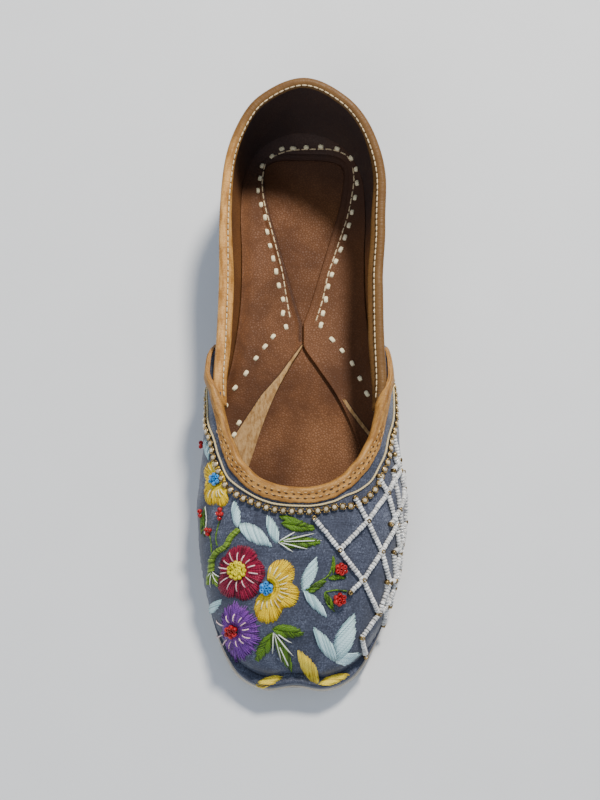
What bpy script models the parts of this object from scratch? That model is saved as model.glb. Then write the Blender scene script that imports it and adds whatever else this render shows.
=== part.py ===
# Mojari shoe: a flat leather slipper with a low embroidered vamp, a bound collar and a leather sock.
# The toe points along -Y, the heel along +Y, and the sole rests on the plane Z = 0.
import math
from collections import namedtuple

import bmesh
import bpy
from mathutils import Vector

# Driving dimensions of the last, in metres
shoe_length = 0.2495
ball_width = 0.0868
heel_height = 0.057
instep_height = 0.0437
swing = 0.0015

# Sole
sole_thickness = 0.0048
sole_margin = 0.0010
sole_edge_round = 0.0006
arch_rise = 0.0015
toe_spring = 0.0048
toe_nose_rise = 0.0020
toe_nose_width = 0.0070

# Upper
wall = 0.0020
vamp_layer = 0.0012
toe_lip = 0.0045
lip_width_rise = 0.0015

# Leather edge bindings
binding_leather = 0.0008
collar_fall = 0.0056
throat_fall = 0.0066
wing_band = 0.0056

# Sock
insole_thickness = 0.0020
flap_thickness = 0.0012
slit = 0.0006

# Clearance between pieces that touch
seat = 0.0003
wing_seat = 0.00045

# One row for each rib of the half last, from the middle of the heel to the middle of the toe.
# foot_x and top_x are shares of half the ball width. foot_y, mid_y and top_y are shares of the
# length, counted from the heel. The top's height is a share of the heel height plus a share of
# the instep height. in1, up1 and in2, up2 place the rib's two handles between foot and top.
# bulge is a share of half the ball width, and lip the share of the turned out toe lip.
Rib = namedtuple("Rib", "foot_x foot_y mid_y top_x top_y of_heel of_instep in1 up1 in2 up2 bulge lip")
ribs = [
    Rib(0.000, 0.013, 0.013, 0.000, 0.0120, 1.00, 0.000, 0.00, 0.33, 1.00, 0.68, 0.075, 0.00),
    Rib(0.395, 0.039, 0.046, 0.430, 0.0410, 0.93, 0.057, 0.10, 0.33, 0.90, 0.68, 0.072, 0.00),
    Rib(0.605, 0.096, 0.098, 0.663, 0.0960, 0.80, 0.158, 0.25, 0.33, 0.85, 0.68, 0.066, 0.00),
    Rib(0.650, 0.172, 0.172, 0.760, 0.1640, 0.62, 0.312, 0.30, 0.33, 0.85, 0.68, 0.062, 0.00),
    Rib(0.632, 0.261, 0.261, 0.780, 0.2530, 0.45, 0.454, 0.30, 0.33, 0.85, 0.68, 0.056, 0.00),
    Rib(0.645, 0.358, 0.358, 0.778, 0.3500, 0.30, 0.575, 0.28, 0.33, 0.85, 0.68, 0.062, 0.00),
    Rib(0.722, 0.458, 0.458, 0.792, 0.4460, 0.18, 0.676, 0.20, 0.34, 0.80, 0.68, 0.084, 0.00),
    Rib(0.842, 0.539, 0.539, 0.808, 0.5310, 0.08, 0.770, 0.05, 0.38, 0.60, 0.76, 0.090, 0.00),
    Rib(0.907, 0.620, 0.620, 0.742, 0.5850, 0.03, 0.828, 0.00, 0.41, 0.45, 0.84, 0.082, 0.00),
    Rib(0.942, 0.700, 0.700, 0.648, 0.6240, 0.00, 0.888, 0.00, 0.42, 0.39, 0.87, 0.082, 0.00),
    Rib(0.907, 0.785, 0.785, 0.508, 0.6580, 0.00, 0.924, 0.00, 0.42, 0.37, 0.86, 0.074, 0.00),
    Rib(0.814, 0.862, 0.862, 0.355, 0.6805, 0.00, 0.961, 0.00, 0.41, 0.36, 0.84, 0.056, 0.06),
    Rib(0.688, 0.928, 0.922, 0.223, 0.6912, 0.00, 0.984, 0.00, 0.39, 0.35, 0.82, 0.030, 0.40),
    Rib(0.522, 0.975, 0.953, 0.128, 0.6950, 0.00, 0.993, 0.01, 0.38, 0.35, 0.80, 0.010, 0.90),
    Rib(0.275, 0.9955, 0.972, 0.060, 0.6962, 0.00, 0.998, 0.02, 0.38, 0.35, 0.80, 0.000, 1.00),
    Rib(0.000, 0.990, 0.990, 0.000, 0.6966, 0.00, 1.000, 0.02, 0.38, 0.35, 0.80, 0.000, 1.00),
]
last_rib = len(ribs) - 1

# The vamp's rear edge: how far up each rib it runs, from the tip of the side wing to the throat
EdgeRow = namedtuple("EdgeRow", "turn height")
wing_tip = 5.9
throat_start = 7.0
wing_edge = [
    EdgeRow(wing_tip, 0.60),
    EdgeRow(6.15, 0.75),
    EdgeRow(6.40, 0.80),
    EdgeRow(6.70, 0.875),
    EdgeRow(throat_start, 0.985),
]
wing_band_end = 6.82
column_ease = 0.012
rib_steps = 3
wall_rows = 6

# The inner edges of the two sock flaps: the rib each edge point belongs to, its share of the
# length from the heel, and its shares of half the ball width to the left and right.
FlapRow = namedtuple("FlapRow", "turn along left right")
flap_edge = [
    FlapRow(0.0, 0.066, 0.000, 0.000),
    FlapRow(0.7, 0.068, 0.250, 0.270),
    FlapRow(1.3, 0.082, 0.385, 0.400),
    FlapRow(2.0, 0.113, 0.395, 0.405),
    FlapRow(2.8, 0.160, 0.350, 0.365),
    FlapRow(3.6, 0.220, 0.255, 0.270),
    FlapRow(4.4, 0.285, 0.150, 0.165),
    FlapRow(5.0, 0.345, 0.055, 0.065),
    FlapRow(5.5, 0.380, 0.000, 0.000),
    FlapRow(6.0, 0.415, 0.000, 0.000),
    FlapRow(6.6, 0.455, 0.125, 0.140),
    FlapRow(7.3, 0.505, 0.270, 0.330),
    FlapRow(8.0, 0.565, 0.400, 0.490),
    FlapRow(8.8, 0.635, 0.520, 0.620),
    FlapRow(9.6, 0.700, 0.640, 0.710),
]
flap_columns = 4


def spline(before, start, end, after, share):
    """A smooth value between start and end."""
    a = 2 * start
    b = end - before
    c = 2 * before - 5 * start + 4 * end - after
    d = 3 * start - before - 3 * end + after
    return (a + b * share + c * share**2 + d * share**3) / 2


def rib_at(turn):
    """The last's rib at a turn between two rows of the table, which mirrors at both ends."""
    index = min(int(turn), last_rib - 1)
    share = turn - index

    def row(i):
        if i < 0:
            return ribs[-i], -1
        if i > last_rib:
            return ribs[2 * last_rib - i], -1
        return ribs[i], 1

    values = {}
    for name in Rib._fields:
        four = []
        for i in range(index - 1, index + 3):
            found, side = row(i)
            value = getattr(found, name)
            four.append(value * side if name in ("foot_x", "top_x") else value)
        values[name] = spline(*four, share)
    return Rib(**values)


def along(share):
    """Y of a share of the length, counted from the heel."""
    return shoe_length * (0.5 - share)


def sway(y):
    """The last's slight sideways bow."""
    share = min(max(0.5 - y / shoe_length, 0), 1)
    return swing * math.sin(math.pi * share**1.5)


def sole_rise(x, y):
    """How far the sole's underside is off the floor: arch, toe spring and the raised toe middle."""
    share = 0.5 - y / shoe_length
    rise = 0.0
    arch_start, arch_end = 0.32, 0.58
    if arch_start < share < arch_end:
        rise += arch_rise * math.sin(math.pi * (share - arch_start) / (arch_end - arch_start)) ** 2
    spring_start = 0.855
    if share > spring_start:
        lift = (share - spring_start) / (1 - spring_start)
        nose = math.exp(-((x / toe_nose_width) ** 2))
        rise += toe_spring * lift**1.7 + toe_nose_rise * nose * lift**3
    return rise


def sole_top(x, y):
    return sole_rise(x, y) + sole_thickness


def folded(turn):
    """A turn all round the last, 0 to twice the table, as a turn in the table and a side."""
    turn %= 2 * last_rib
    if turn <= last_rib:
        return turn, 1
    return 2 * last_rib - turn, -1


def outline_out(turn):
    """The horizontal direction that points out of the sole's outline at a turn."""
    step = 0.05
    before, after = foot_point(turn - step), foot_point(turn + step)
    return Vector((before.y - after.y, after.x - before.x, 0)).normalized()


def foot_point(turn):
    """The foot of a rib, in plan."""
    table_turn, side = folded(turn)
    rib = rib_at(table_turn)
    return Vector((side * rib.foot_x * ball_width / 2, along(rib.foot_y), 0))


def last_point(turn, height):
    """A point of the upper's base surface. Height runs from -1 to 0 over the lip, and from 0 to 1 up the wall."""
    table_turn, side = folded(turn)
    rib = rib_at(table_turn)
    half = ball_width / 2
    foot = foot_point(turn)
    out = outline_out(turn)
    floor = sole_top(foot.x, foot.y) + seat
    foot.z = floor + wall * rib.lip
    root = foot - out * toe_lip * rib.lip
    root.z = sole_top(root.x, root.y) + seat + wall * rib.lip + lip_width_rise * (1 - rib.lip)
    top_z = rib.of_heel * heel_height + rib.of_instep * instep_height
    top = Vector((side * rib.top_x * half, along(rib.top_y), top_z))
    if height < 0:
        point = root.lerp(foot, -height)
    else:
        across = Vector((top.x - root.x, top.y - root.y, 0))
        rise = top.z - root.z
        swell = out * rib.bulge * half
        handle1 = root + across * rib.in1 + swell + Vector((0, 0, rise * rib.up1))
        handle2 = root + across * rib.in2 + swell / 2 + Vector((0, 0, rise * rib.up2))
        rest = 1 - height
        point = (
            root * rest**3
            + handle1 * 3 * rest**2 * height
            + handle2 * 3 * rest * height**2
            + top * height**3
        )
    point.x += sway(point.y)
    return point


def slopes(turn, height):
    """The outward normal, the direction up the rib and the direction round the last, at a point."""
    step_turn, step_height = 0.04, 0.02
    low, high = max(height - step_height, -1), min(height + step_height, 1)
    up = (last_point(turn, high) - last_point(turn, low)).normalized()
    round_last = (last_point(turn + step_turn, height) - last_point(turn - step_turn, height)).normalized()
    out = up.cross(round_last).normalized()
    return out, up, round_last


def edge_height(turn):
    """How far up a rib the vamp's rear edge runs."""
    table_turn, side = folded(turn)
    if table_turn <= wing_edge[0].turn:
        return wing_edge[0].height
    for low, high in zip(wing_edge, wing_edge[1:]):
        if table_turn <= high.turn:
            share = (table_turn - low.turn) / (high.turn - low.turn)
            return low.height + (high.height - low.height) * share
    return wing_edge[-1].height


def collection(name, hidden=False):
    made = bpy.data.collections.new(name)
    bpy.context.scene.collection.children.link(made)
    made.hide_render = hidden
    return made


def material(name, colour, roughness, metallic=0.0):
    made = bpy.data.materials.new(name)
    made.use_nodes = True
    shader = made.node_tree.nodes["Principled BSDF"]
    shader.inputs["Base Color"].default_value = (*colour, 1)
    shader.inputs["Roughness"].default_value = roughness
    shader.inputs["Metallic"].default_value = metallic
    made.diffuse_color = (*colour, 1)
    return made


def placed(name, bm, group, finish, smooth_angle=40):
    """A mesh object from a bmesh, with its normals out and its flat and round faces shaded."""
    bmesh.ops.remove_doubles(bm, verts=bm.verts, dist=1e-6)
    bmesh.ops.recalc_face_normals(bm, faces=bm.faces)
    mesh = bpy.data.meshes.new(name)
    bm.to_mesh(mesh)
    bm.free()
    mesh.shade_smooth()
    mesh.set_sharp_from_angle(angle=math.radians(smooth_angle))
    mesh.materials.append(finish)
    made = bpy.data.objects.new(name, mesh)
    group.objects.link(made)
    return made


def skin(bm, rows, split=False):
    """A tube of quads over rings of points, or of triangles that all lean the same way."""
    rings = [[bm.verts.new(point) for point in row] for row in rows]
    for low, high in zip(rings, rings[1:]):
        panel(bm, low, high, split)
    return rings


def panel(bm, low, high, split):
    """The faces between two rings."""
    for i in range(len(low)):
        j = (i + 1) % len(low)
        if split:
            bm.faces.new((low[i], low[j], high[j]))
            bm.faces.new((low[i], high[j], high[i]))
        else:
            bm.faces.new((low[i], low[j], high[j], high[i]))


def swept(bm, profiles, closed):
    """A solid swept through a list of profiles, with end caps unless it closes on itself."""
    rings = skin(bm, profiles, True)
    if closed:
        panel(bm, rings[-1], rings[0], True)
    else:
        bm.faces.new(rings[0])
        bm.faces.new(rings[-1])


def half_turns():
    """The turns of the upper's columns on one side, doubled where the vamp's layer begins."""
    ease = column_ease
    half = [i / rib_steps for i in range(last_rib * rib_steps + 1)]
    kept = [row.turn for row in wing_edge]
    half = [turn for turn in half if min(abs(turn - other) for other in kept) > 0.15]
    half += [wing_tip - ease, wing_tip + ease, throat_start - ease, throat_start + ease] + kept[1:-1]
    return sorted(half)


def rim_heights(turn, fall):
    """The heights where a binding of this fall ends and where it bends, clear of the vamp's edge."""
    table_turn, side = folded(turn)
    length = (last_point(turn, 1) - last_point(turn, 0.8)).length / 0.2
    low = 1 - fall / length
    if table_turn > throat_start:
        return low, (low + 1) / 2
    least = edge_height(turn) + 0.04
    least = min(least, 0.99)
    return max(low, least + (1 - least) / 3), max((low + 1) / 2, least + (1 - least) * 2 / 3)


def make_upper(group, finish):
    """One hollow shell: the quarter, with the vamp as a thicker layer over its front half."""
    bm = bmesh.new()
    outer_columns, inner_columns = [], []
    half = half_turns()
    for turn in half + [2 * last_rib - turn for turn in reversed(half[1:-1])]:
        table_turn, side = folded(turn)
        edge = edge_height(turn)
        if table_turn > throat_start:
            low, bend = rim_heights(turn, throat_fall)
            edge = low * wall_rows / (wall_rows + 2)
        else:
            low, bend = rim_heights(turn, collar_fall)
        over_edge = edge + min(0.02, (low - edge) / 3)
        rows = [(-1, True), (-0.5, True), (0, True)]
        rows += [(edge * k / wall_rows, True) for k in range(1, wall_rows + 1)]
        rows += [(over_edge, False), ((over_edge + low) / 2, False), (low, False), (bend, False), (1, False)]
        outer, inner = [], []
        for height, below_edge in rows:
            point = last_point(turn, height)
            out, up, round_last = slopes(turn, height)
            covered = table_turn > throat_start or (table_turn > wing_tip and below_edge)
            skin_out = vamp_layer if covered else 0.0
            outer_point = point + out * skin_out
            inner_point = point - out * wall
            for moved in (outer_point, inner_point):
                lowest = sole_top(moved.x - sway(moved.y), moved.y) + seat
                moved.z = max(moved.z, lowest)
            outer.append(outer_point)
            inner.append(inner_point)
        outer_columns.append(outer)
        inner_columns.append(inner)
    profiles = [outer + inner[::-1] for outer, inner in zip(outer_columns, inner_columns)]
    swept(bm, profiles, True)
    return placed("upper", bm, group, finish)


def plan_point(turn, inset):
    """A point of the sole's outline moved out of it, or into it by an inset."""
    table_turn, side = folded(turn)
    point = foot_point(turn) - outline_out(turn) * inset
    if table_turn in (0, last_rib):
        point.x = 0
    return point


def plan_rows(inset_at, columns, steps):
    """Rungs across the sole, from heel to toe, bowed so that they follow both round ends."""
    heel_end = plan_point(0, inset_at(ribs[0])).y
    toe_end = plan_point(last_rib, inset_at(ribs[-1])).y
    rows = []
    for k in range(steps * last_rib + 1):
        turn = k / steps
        rib = rib_at(turn)
        edge = plan_point(turn, inset_at(rib))
        share = (rib.mid_y - ribs[0].mid_y) / (ribs[-1].mid_y - ribs[0].mid_y)
        middle = heel_end + (toe_end - heel_end) * share
        row = []
        for c in range(columns + 1):
            across = 2 * c / columns - 1
            y = edge.y * across**2 + middle * (1 - across**2)
            row.append(Vector((across * edge.x, y, 0)))
        rows.append(row)
    return rows


def slab(name, rows, low_z, high_z, group, finish):
    """A closed slab over plan rows, between two heights that may change over the plan."""
    bm = bmesh.new()
    profiles = []
    for row in rows:
        low = [Vector((p.x + sway(p.y), p.y, low_z(p))) for p in row]
        high = [Vector((p.x + sway(p.y), p.y, high_z(p))) for p in row]
        profiles.append(low + high[::-1])
    rings = skin(bm, profiles)
    for ring in (rings[0], rings[-1]):
        if (ring[0].co - ring[len(ring) // 2 - 1].co).length > 1e-5:
            bm.faces.new(ring)
    bmesh.ops.remove_doubles(bm, verts=bm.verts, dist=1e-6)
    bmesh.ops.dissolve_degenerate(bm, edges=bm.edges, dist=1e-6)
    return placed(name, bm, group, finish, 35)


def make_outsole(group, finish):
    rows = plan_rows(lambda rib: -sole_margin, 6, 3)
    outsole = slab(
        "outsole",
        rows,
        lambda p: sole_rise(p.x, p.y),
        lambda p: sole_top(p.x, p.y),
        group,
        finish,
    )
    rounding = outsole.modifiers.new("rounded_edge", "BEVEL")
    rounding.width = sole_edge_round
    rounding.segments = 2
    rounding.limit_method = "ANGLE"
    rounding.angle_limit = math.radians(50)
    return outsole


def sock_inset(rib):
    """How far the sock stays inside the sole's outline, past the wall and the toe lip."""
    return wall + 2 * seat + rib.lip * toe_lip


def make_insole(group, finish):
    rows = plan_rows(sock_inset, 6, 2)
    return slab(
        "insole",
        rows,
        lambda p: sole_top(p.x, p.y) + seat,
        lambda p: sole_top(p.x, p.y) + seat + insole_thickness,
        group,
        finish,
    )


def flap_point(turn):
    """The inner edge of the flaps at a turn: its share of the length and its left and right shares."""
    index = 0
    while index < len(flap_edge) - 2 and turn > flap_edge[index + 1].turn:
        index += 1
    near = [flap_edge[min(max(i, 0), len(flap_edge) - 1)] for i in range(index - 1, index + 3)]
    share = (turn - near[1].turn) / (near[2].turn - near[1].turn)
    return [spline(*(getattr(row, name) for row in near), share) for name in ("along", "left", "right")]


def make_flap(name, side, group, finish):
    """Half of the sock's top leather, which leaves the heel pad and the forefoot bare."""
    last_turn = flap_edge[-1].turn
    count = 32
    rows = []
    for k in range(count + 1):
        turn = last_turn * k / count
        share, left, right = flap_point(turn)
        inner_x = max((left if side < 0 else right) * ball_width / 2, slit / 2)
        inner = Vector((side * inner_x, along(share), 0))
        outer = plan_point(turn, sock_inset(rib_at(turn)) + seat)
        outer.x = side * max(outer.x, slit / 2)
        rows.append([inner.lerp(outer, c / flap_columns) for c in range(flap_columns + 1)])
    base = seat + insole_thickness + seat
    return slab(
        name,
        rows,
        lambda p: sole_top(p.x, p.y) + base,
        lambda p: sole_top(p.x, p.y) + base + flap_thickness,
        group,
        finish,
    )


def rim_profile(turn, core_out, fall):
    """A binding's U section over the rim at a turn. core_out is the layer outside the base surface."""
    low, bend = rim_heights(turn, fall)
    floor_out, floor_in = core_out + seat, wall + seat
    leather = binding_leather

    def at(height, off):
        return last_point(turn, height) + slopes(turn, height)[0] * off

    rim = last_point(turn, 1)
    out, up, round_last = slopes(turn, 1)
    roof = rim + up * seat
    ridge = rim + up * (seat + leather)
    middle = (core_out - wall) / 2
    section = [
        at(low, floor_out + leather),
        at(bend, floor_out + leather),
        rim + out * (floor_out + leather),
        ridge + out * (floor_out + leather / 3),
        ridge + out * middle,
        ridge - out * (floor_in + leather / 3),
        rim - out * (floor_in + leather),
        at(bend, -floor_in - leather),
        at(low, -floor_in - leather),
        at(low, -floor_in),
        at(bend, -floor_in),
        roof - out * floor_in,
        roof + out * floor_out,
        at(bend, floor_out),
        at(low, floor_out),
    ]
    return section[::-1]


def make_rim_binding(name, turns, core_out, fall, group, finish):
    bm = bmesh.new()
    swept(bm, [rim_profile(turn, core_out, fall) for turn in turns], False)
    return placed(name, bm, group, finish)


def moved_along(turn, height, shift):
    """The turn and height that a small shift along the surface leads to."""
    step = 0.02
    by_turn = (last_point(turn + step, height) - last_point(turn - step, height)) / (2 * step)
    low, high = max(height - step, 0), height + step
    by_height = (last_point(turn, high) - last_point(turn, low)) / (high - low)
    a, b, c = by_turn.dot(by_turn), by_turn.dot(by_height), by_height.dot(by_height)
    p, q = shift.dot(by_turn), shift.dot(by_height)
    area = a * c - b * b
    return turn + (p * c - q * b) / area, height + (q * a - p * b) / area


def wing_path():
    """The vamp's rear edge on the right side, as turns and heights, from the sole to the throat."""
    path = [(wing_tip, 0.04 + (wing_edge[0].height - 0.04) * k / 5) for k in range(5)]
    for low, high in zip(wing_edge, wing_edge[1:]):
        path.append((low.turn, low.height))
        middle = (low.turn + high.turn) / 2
        if middle < wing_band_end:
            path.append((middle, (low.height + high.height) / 2))
    path.append((wing_band_end, edge_height(wing_band_end)))
    return path


def make_wing_binding(name, side, group, finish):
    """The binding along the vamp's rear edge: a band on the vamp, folded down over its edge."""
    path = wing_path()
    points = [last_point(turn, height) for turn, height in path]
    bm = bmesh.new()
    profiles = []
    step = vamp_layer + wing_seat
    for k, (turn, height) in enumerate(path):
        out, up, round_last = slopes(turn, height)
        into = (points[k] - points[max(k - 1, 0)]).normalized()
        onward = (points[min(k + 1, len(path) - 1)] - points[k]).normalized()
        if k == 0:
            into = onward
        if k == len(path) - 1:
            onward = into
        back = out.cross((into + onward).normalized())
        if back.dot(up - round_last) < 0:
            back.negate()
        mitre = 1 / max((into + onward).length / 2, 0.5)

        def at(away, off):
            """A point off the base surface, away from the vamp's edge."""
            new_turn, new_height = moved_along(turn, height, back * away * mitre)
            base = last_point(new_turn, max(new_height, 0.0))
            base += slopes(new_turn, max(new_height, 0.0))[0] * off
            return Vector((side * (base.x - sway(base.y)) + sway(base.y), base.y, base.z))

        fold = wing_seat + binding_leather
        profiles.append(
            [
                at(-wing_band, step + binding_leather),
                at(-wing_band / 2, step + binding_leather),
                at(wing_seat + binding_leather * 0.6, step + binding_leather),
                at(fold, step + binding_leather * 0.4),
                at(fold, wing_seat),
                at(wing_seat, wing_seat),
                at(wing_seat, step),
                at(-wing_band / 2, step),
                at(-wing_band, step),
            ]
        )
    swept(bm, profiles, False)
    return placed(name, bm, group, finish)


def stand(group):
    """Hangs all parts on one empty, placed so that the shoe is centred on X and Y and stands on Z = 0."""
    parts = list(group.objects)
    points = [vertex.co for part in parts for vertex in part.data.vertices]
    lowest = [min(point[i] for point in points) for i in range(3)]
    highest = [max(point[i] for point in points) for i in range(3)]
    last = bpy.data.objects.new("last", None)
    last.empty_display_size = ball_width / 2
    last.location = (-(lowest[0] + highest[0]) / 2, -(lowest[1] + highest[1]) / 2, -lowest[2])
    group.objects.link(last)
    for part in parts:
        part.parent = last


def build():
    for old in list(bpy.data.objects):
        bpy.data.objects.remove(old)
    shoe = collection("mojari_shoe")
    cloth = material("slate_silk", (0.055, 0.068, 0.092), 0.75)
    tan = material("tan_binding", (0.45, 0.27, 0.13), 0.5)
    brown = material("brown_lining", (0.20, 0.085, 0.035), 0.45)
    sole_leather = material("sole_leather", (0.50, 0.40, 0.28), 0.6)
    make_outsole(shoe, sole_leather)
    make_upper(shoe, cloth)
    make_insole(shoe, brown)
    make_flap("sock_flap_left", -1, shoe, brown)
    make_flap("sock_flap_right", 1, shoe, brown)
    half = half_turns()
    collar = [turn for turn in half if turn < throat_start]
    collar = [-turn for turn in reversed(collar[1:])] + collar
    throat = [turn for turn in half if turn > throat_start]
    throat += [2 * last_rib - turn for turn in reversed(throat[:-1])]
    make_rim_binding("collar_binding", collar, 0.0, collar_fall, shoe, tan)
    make_rim_binding("throat_binding", throat, vamp_layer, throat_fall, shoe, tan)
    make_wing_binding("wing_binding_right", 1, shoe, tan)
    make_wing_binding("wing_binding_left", -1, shoe, tan)
    stand(shoe)


build()
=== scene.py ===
import math

import bmesh
import bpy
import numpy as np
from mathutils import Matrix, Vector
from mathutils.bvhtree import BVHTree


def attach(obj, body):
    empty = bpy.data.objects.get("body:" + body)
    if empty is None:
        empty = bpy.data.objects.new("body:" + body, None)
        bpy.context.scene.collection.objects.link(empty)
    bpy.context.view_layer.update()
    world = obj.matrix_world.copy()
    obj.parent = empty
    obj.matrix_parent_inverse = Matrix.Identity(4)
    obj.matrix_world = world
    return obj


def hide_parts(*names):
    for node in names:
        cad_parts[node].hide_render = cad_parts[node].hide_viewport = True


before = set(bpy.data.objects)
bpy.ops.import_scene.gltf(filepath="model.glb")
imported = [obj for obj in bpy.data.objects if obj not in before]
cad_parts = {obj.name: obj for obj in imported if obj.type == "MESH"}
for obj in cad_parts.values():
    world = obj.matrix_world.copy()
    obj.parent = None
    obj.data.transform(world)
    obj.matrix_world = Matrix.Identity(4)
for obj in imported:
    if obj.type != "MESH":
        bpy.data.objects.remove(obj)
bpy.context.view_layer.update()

dice = np.random.default_rng(7)
mm = 0.001

# The shoe's last, as the solids have it
last = {
    "length": 0.2495, "ballWidth": 0.0868, "heelHeight": 0.057, "instepHeight": 0.0437, "swing": 0.0015,
    "soleThickness": 0.0048, "soleMargin": 0.0010, "archRise": 0.0015, "toeSpring": 0.0048,
    "noseRise": 0.0020, "noseWidth": 0.0070, "wall": 0.0020, "vampLayer": 0.0012, "toeLip": 0.0045,
    "lipRise": 0.0015, "seat": 0.0003, "place": (-0.001452, 0.000573, 0.0),
}
# a row for each rib, heel to toe: foot x y, middle y, top x y, heel and instep shares, two handles, bulge, lip
ribTable = np.array([
    [0.000, 0.013, 0.013, 0.000, 0.0120, 1.00, 0.000, 0.00, 0.33, 1.00, 0.68, 0.075, 0.00],
    [0.395, 0.039, 0.046, 0.430, 0.0410, 0.93, 0.057, 0.10, 0.33, 0.90, 0.68, 0.072, 0.00],
    [0.605, 0.096, 0.098, 0.663, 0.0960, 0.80, 0.158, 0.25, 0.33, 0.85, 0.68, 0.066, 0.00],
    [0.650, 0.172, 0.172, 0.760, 0.1640, 0.62, 0.312, 0.30, 0.33, 0.85, 0.68, 0.062, 0.00],
    [0.632, 0.261, 0.261, 0.780, 0.2530, 0.45, 0.454, 0.30, 0.33, 0.85, 0.68, 0.056, 0.00],
    [0.645, 0.358, 0.358, 0.778, 0.3500, 0.30, 0.575, 0.28, 0.33, 0.85, 0.68, 0.062, 0.00],
    [0.722, 0.458, 0.458, 0.792, 0.4460, 0.18, 0.676, 0.20, 0.34, 0.80, 0.68, 0.084, 0.00],
    [0.842, 0.539, 0.539, 0.808, 0.5310, 0.08, 0.770, 0.05, 0.38, 0.60, 0.76, 0.090, 0.00],
    [0.907, 0.620, 0.620, 0.742, 0.5850, 0.03, 0.828, 0.00, 0.41, 0.45, 0.84, 0.082, 0.00],
    [0.942, 0.700, 0.700, 0.648, 0.6240, 0.00, 0.888, 0.00, 0.42, 0.39, 0.87, 0.082, 0.00],
    [0.907, 0.785, 0.785, 0.508, 0.6580, 0.00, 0.924, 0.00, 0.42, 0.37, 0.86, 0.074, 0.00],
    [0.814, 0.862, 0.862, 0.355, 0.6805, 0.00, 0.961, 0.00, 0.41, 0.36, 0.84, 0.056, 0.06],
    [0.688, 0.928, 0.922, 0.223, 0.6912, 0.00, 0.984, 0.00, 0.39, 0.35, 0.82, 0.030, 0.40],
    [0.522, 0.975, 0.953, 0.128, 0.6950, 0.00, 0.993, 0.01, 0.38, 0.35, 0.80, 0.010, 0.90],
    [0.275, 0.9955, 0.972, 0.060, 0.6962, 0.00, 0.998, 0.02, 0.38, 0.35, 0.80, 0.000, 1.00],
    [0.000, 0.990, 0.990, 0.000, 0.6966, 0.00, 1.000, 0.02, 0.38, 0.35, 0.80, 0.000, 1.00],
])
lastRib = len(ribTable) - 1
# the vamp's rear edge: rib turn and height up the rib
wingTip, throatStart = 5.9, 7.0
wingEdge = np.array([[wingTip, 0.60], [6.15, 0.75], [6.40, 0.80], [6.70, 0.875], [throatStart, 0.985]])
# where the worn shoe leaves the solids, in metres: its flanks are drawn in, the wall at the throat is pared,
# and the wings stand off the quarters
worn = {"rightFlank": -0.0019, "leftFlank": 0.0008, "paredWall": 0.0012, "leftWing": 0.0021, "rightWing": 0.0012}
# how far the rim stands right of the last and towards the toe, in millimetres by turn, the left side negative
rimLean = np.array([
    [-15, 0, 1.6], [-14, -0.2, 1.6], [-13, -0.5, 1.6], [-12, -0.8, 1.6], [-11, -1.6, 1.4], [-10, -1.6, 0.3],
    [-9, 0.2, -0.2], [-8, 0.8, 0], [-7, 0, 0], [-6, 0, 0], [-4, 0, 0], [-3, 0.6, 0], [-2, 1.2, 0], [-1, 1.1, 0],
    [0, 0, 0], [1, -1.6, 0], [2, -0.8, 0], [3, 0.1, 0], [4, -0.9, 0], [5, -2.0, 0], [6, -2.4, 0], [7, -2.6, 0],
    [8, -3.1, 0], [9, -2.5, -0.2], [10, -1.2, -0.3], [11, 0, 0.2], [12, 0.3, 1.0], [13, 0.2, 1.4], [14, 0, 1.6],
    [15, 0, 1.6],
])


def spline(a, b, c, d, share):  # a smooth curve from b to c, with their neighbours
    square, cube = 2 * a - 5 * b + 4 * c - d, 3 * b - a - 3 * c + d
    return (2 * b + (c - a) * share + square * share**2 + cube * share**3) / 2


def unit(v):
    return v / np.maximum(np.linalg.norm(v, axis=-1, keepdims=True), 1e-12)


def smoothStep(low, high, value):
    share = np.clip((value - low) / (high - low), 0, 1)
    return share * share * (3 - 2 * share)


def folded(turn):  # a turn all round the last, as a turn on one side and that side
    turn = np.mod(turn, 2 * lastRib)
    return np.where(turn <= lastRib, turn, 2 * lastRib - turn), np.where(turn <= lastRib, 1.0, -1.0)


def leanAt(turn, height):  # how far the worn rim and the wall below it have moved, in x and y
    oneSide, side = folded(turn)
    at = np.clip(oneSide * side, -14.99, 14.99)
    index = np.clip(np.searchsorted(rimLean[:, 0], at, "right") - 1, 0, len(rimLean) - 2)
    share = ((at - rimLean[index, 0]) / (rimLean[index + 1, 0] - rimLean[index, 0]))[..., None]
    share = share * share * (3 - 2 * share)
    lean = (rimLean[index, 1:] * (1 - share) + rimLean[index + 1, 1:] * share) / 1000 * [1, -1]
    higher = smoothStep(6, 7.5, oneSide)
    low, high = 0.10 + np.where(side > 0, 0.04, 0.32) * higher, 0.85 + 0.15 * higher
    return lean * smoothStep(low, high, height)[..., None]


def ribAt(turn):  # the ribs' values between two rows, mirrored past the heel and the toe
    index = np.minimum(turn.astype(int), lastRib - 1)
    four = []
    for step in (-1, 0, 1, 2):
        row = index + step
        beyond = (row < 0) | (row > lastRib)
        row = np.where(row < 0, -row, np.where(row > lastRib, 2 * lastRib - row, row))
        values = ribTable[row].copy()
        values[..., [0, 3]] *= np.where(beyond, -1, 1)[..., None]
        four.append(values)
    return np.moveaxis(spline(*four, (turn - index)[..., None]), -1, 0)


def footPlan(turn):  # the foot's outline from above
    oneSide, side = folded(turn)
    rib = ribAt(oneSide)
    return np.stack([side * rib[0] * last["ballWidth"] / 2, last["length"] * (0.5 - rib[1])], axis=-1)


def outlineOut(turn):  # the way straight out of that outline
    step = footPlan(turn + 0.05) - footPlan(turn - 0.05)
    return unit(np.stack([-step[..., 1], step[..., 0]], axis=-1))


def sway(y):  # the last's slight bow to one side
    share = np.clip(0.5 - y / last["length"], 0, 1)
    return last["swing"] * np.sin(math.pi * share**1.5)


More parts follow.
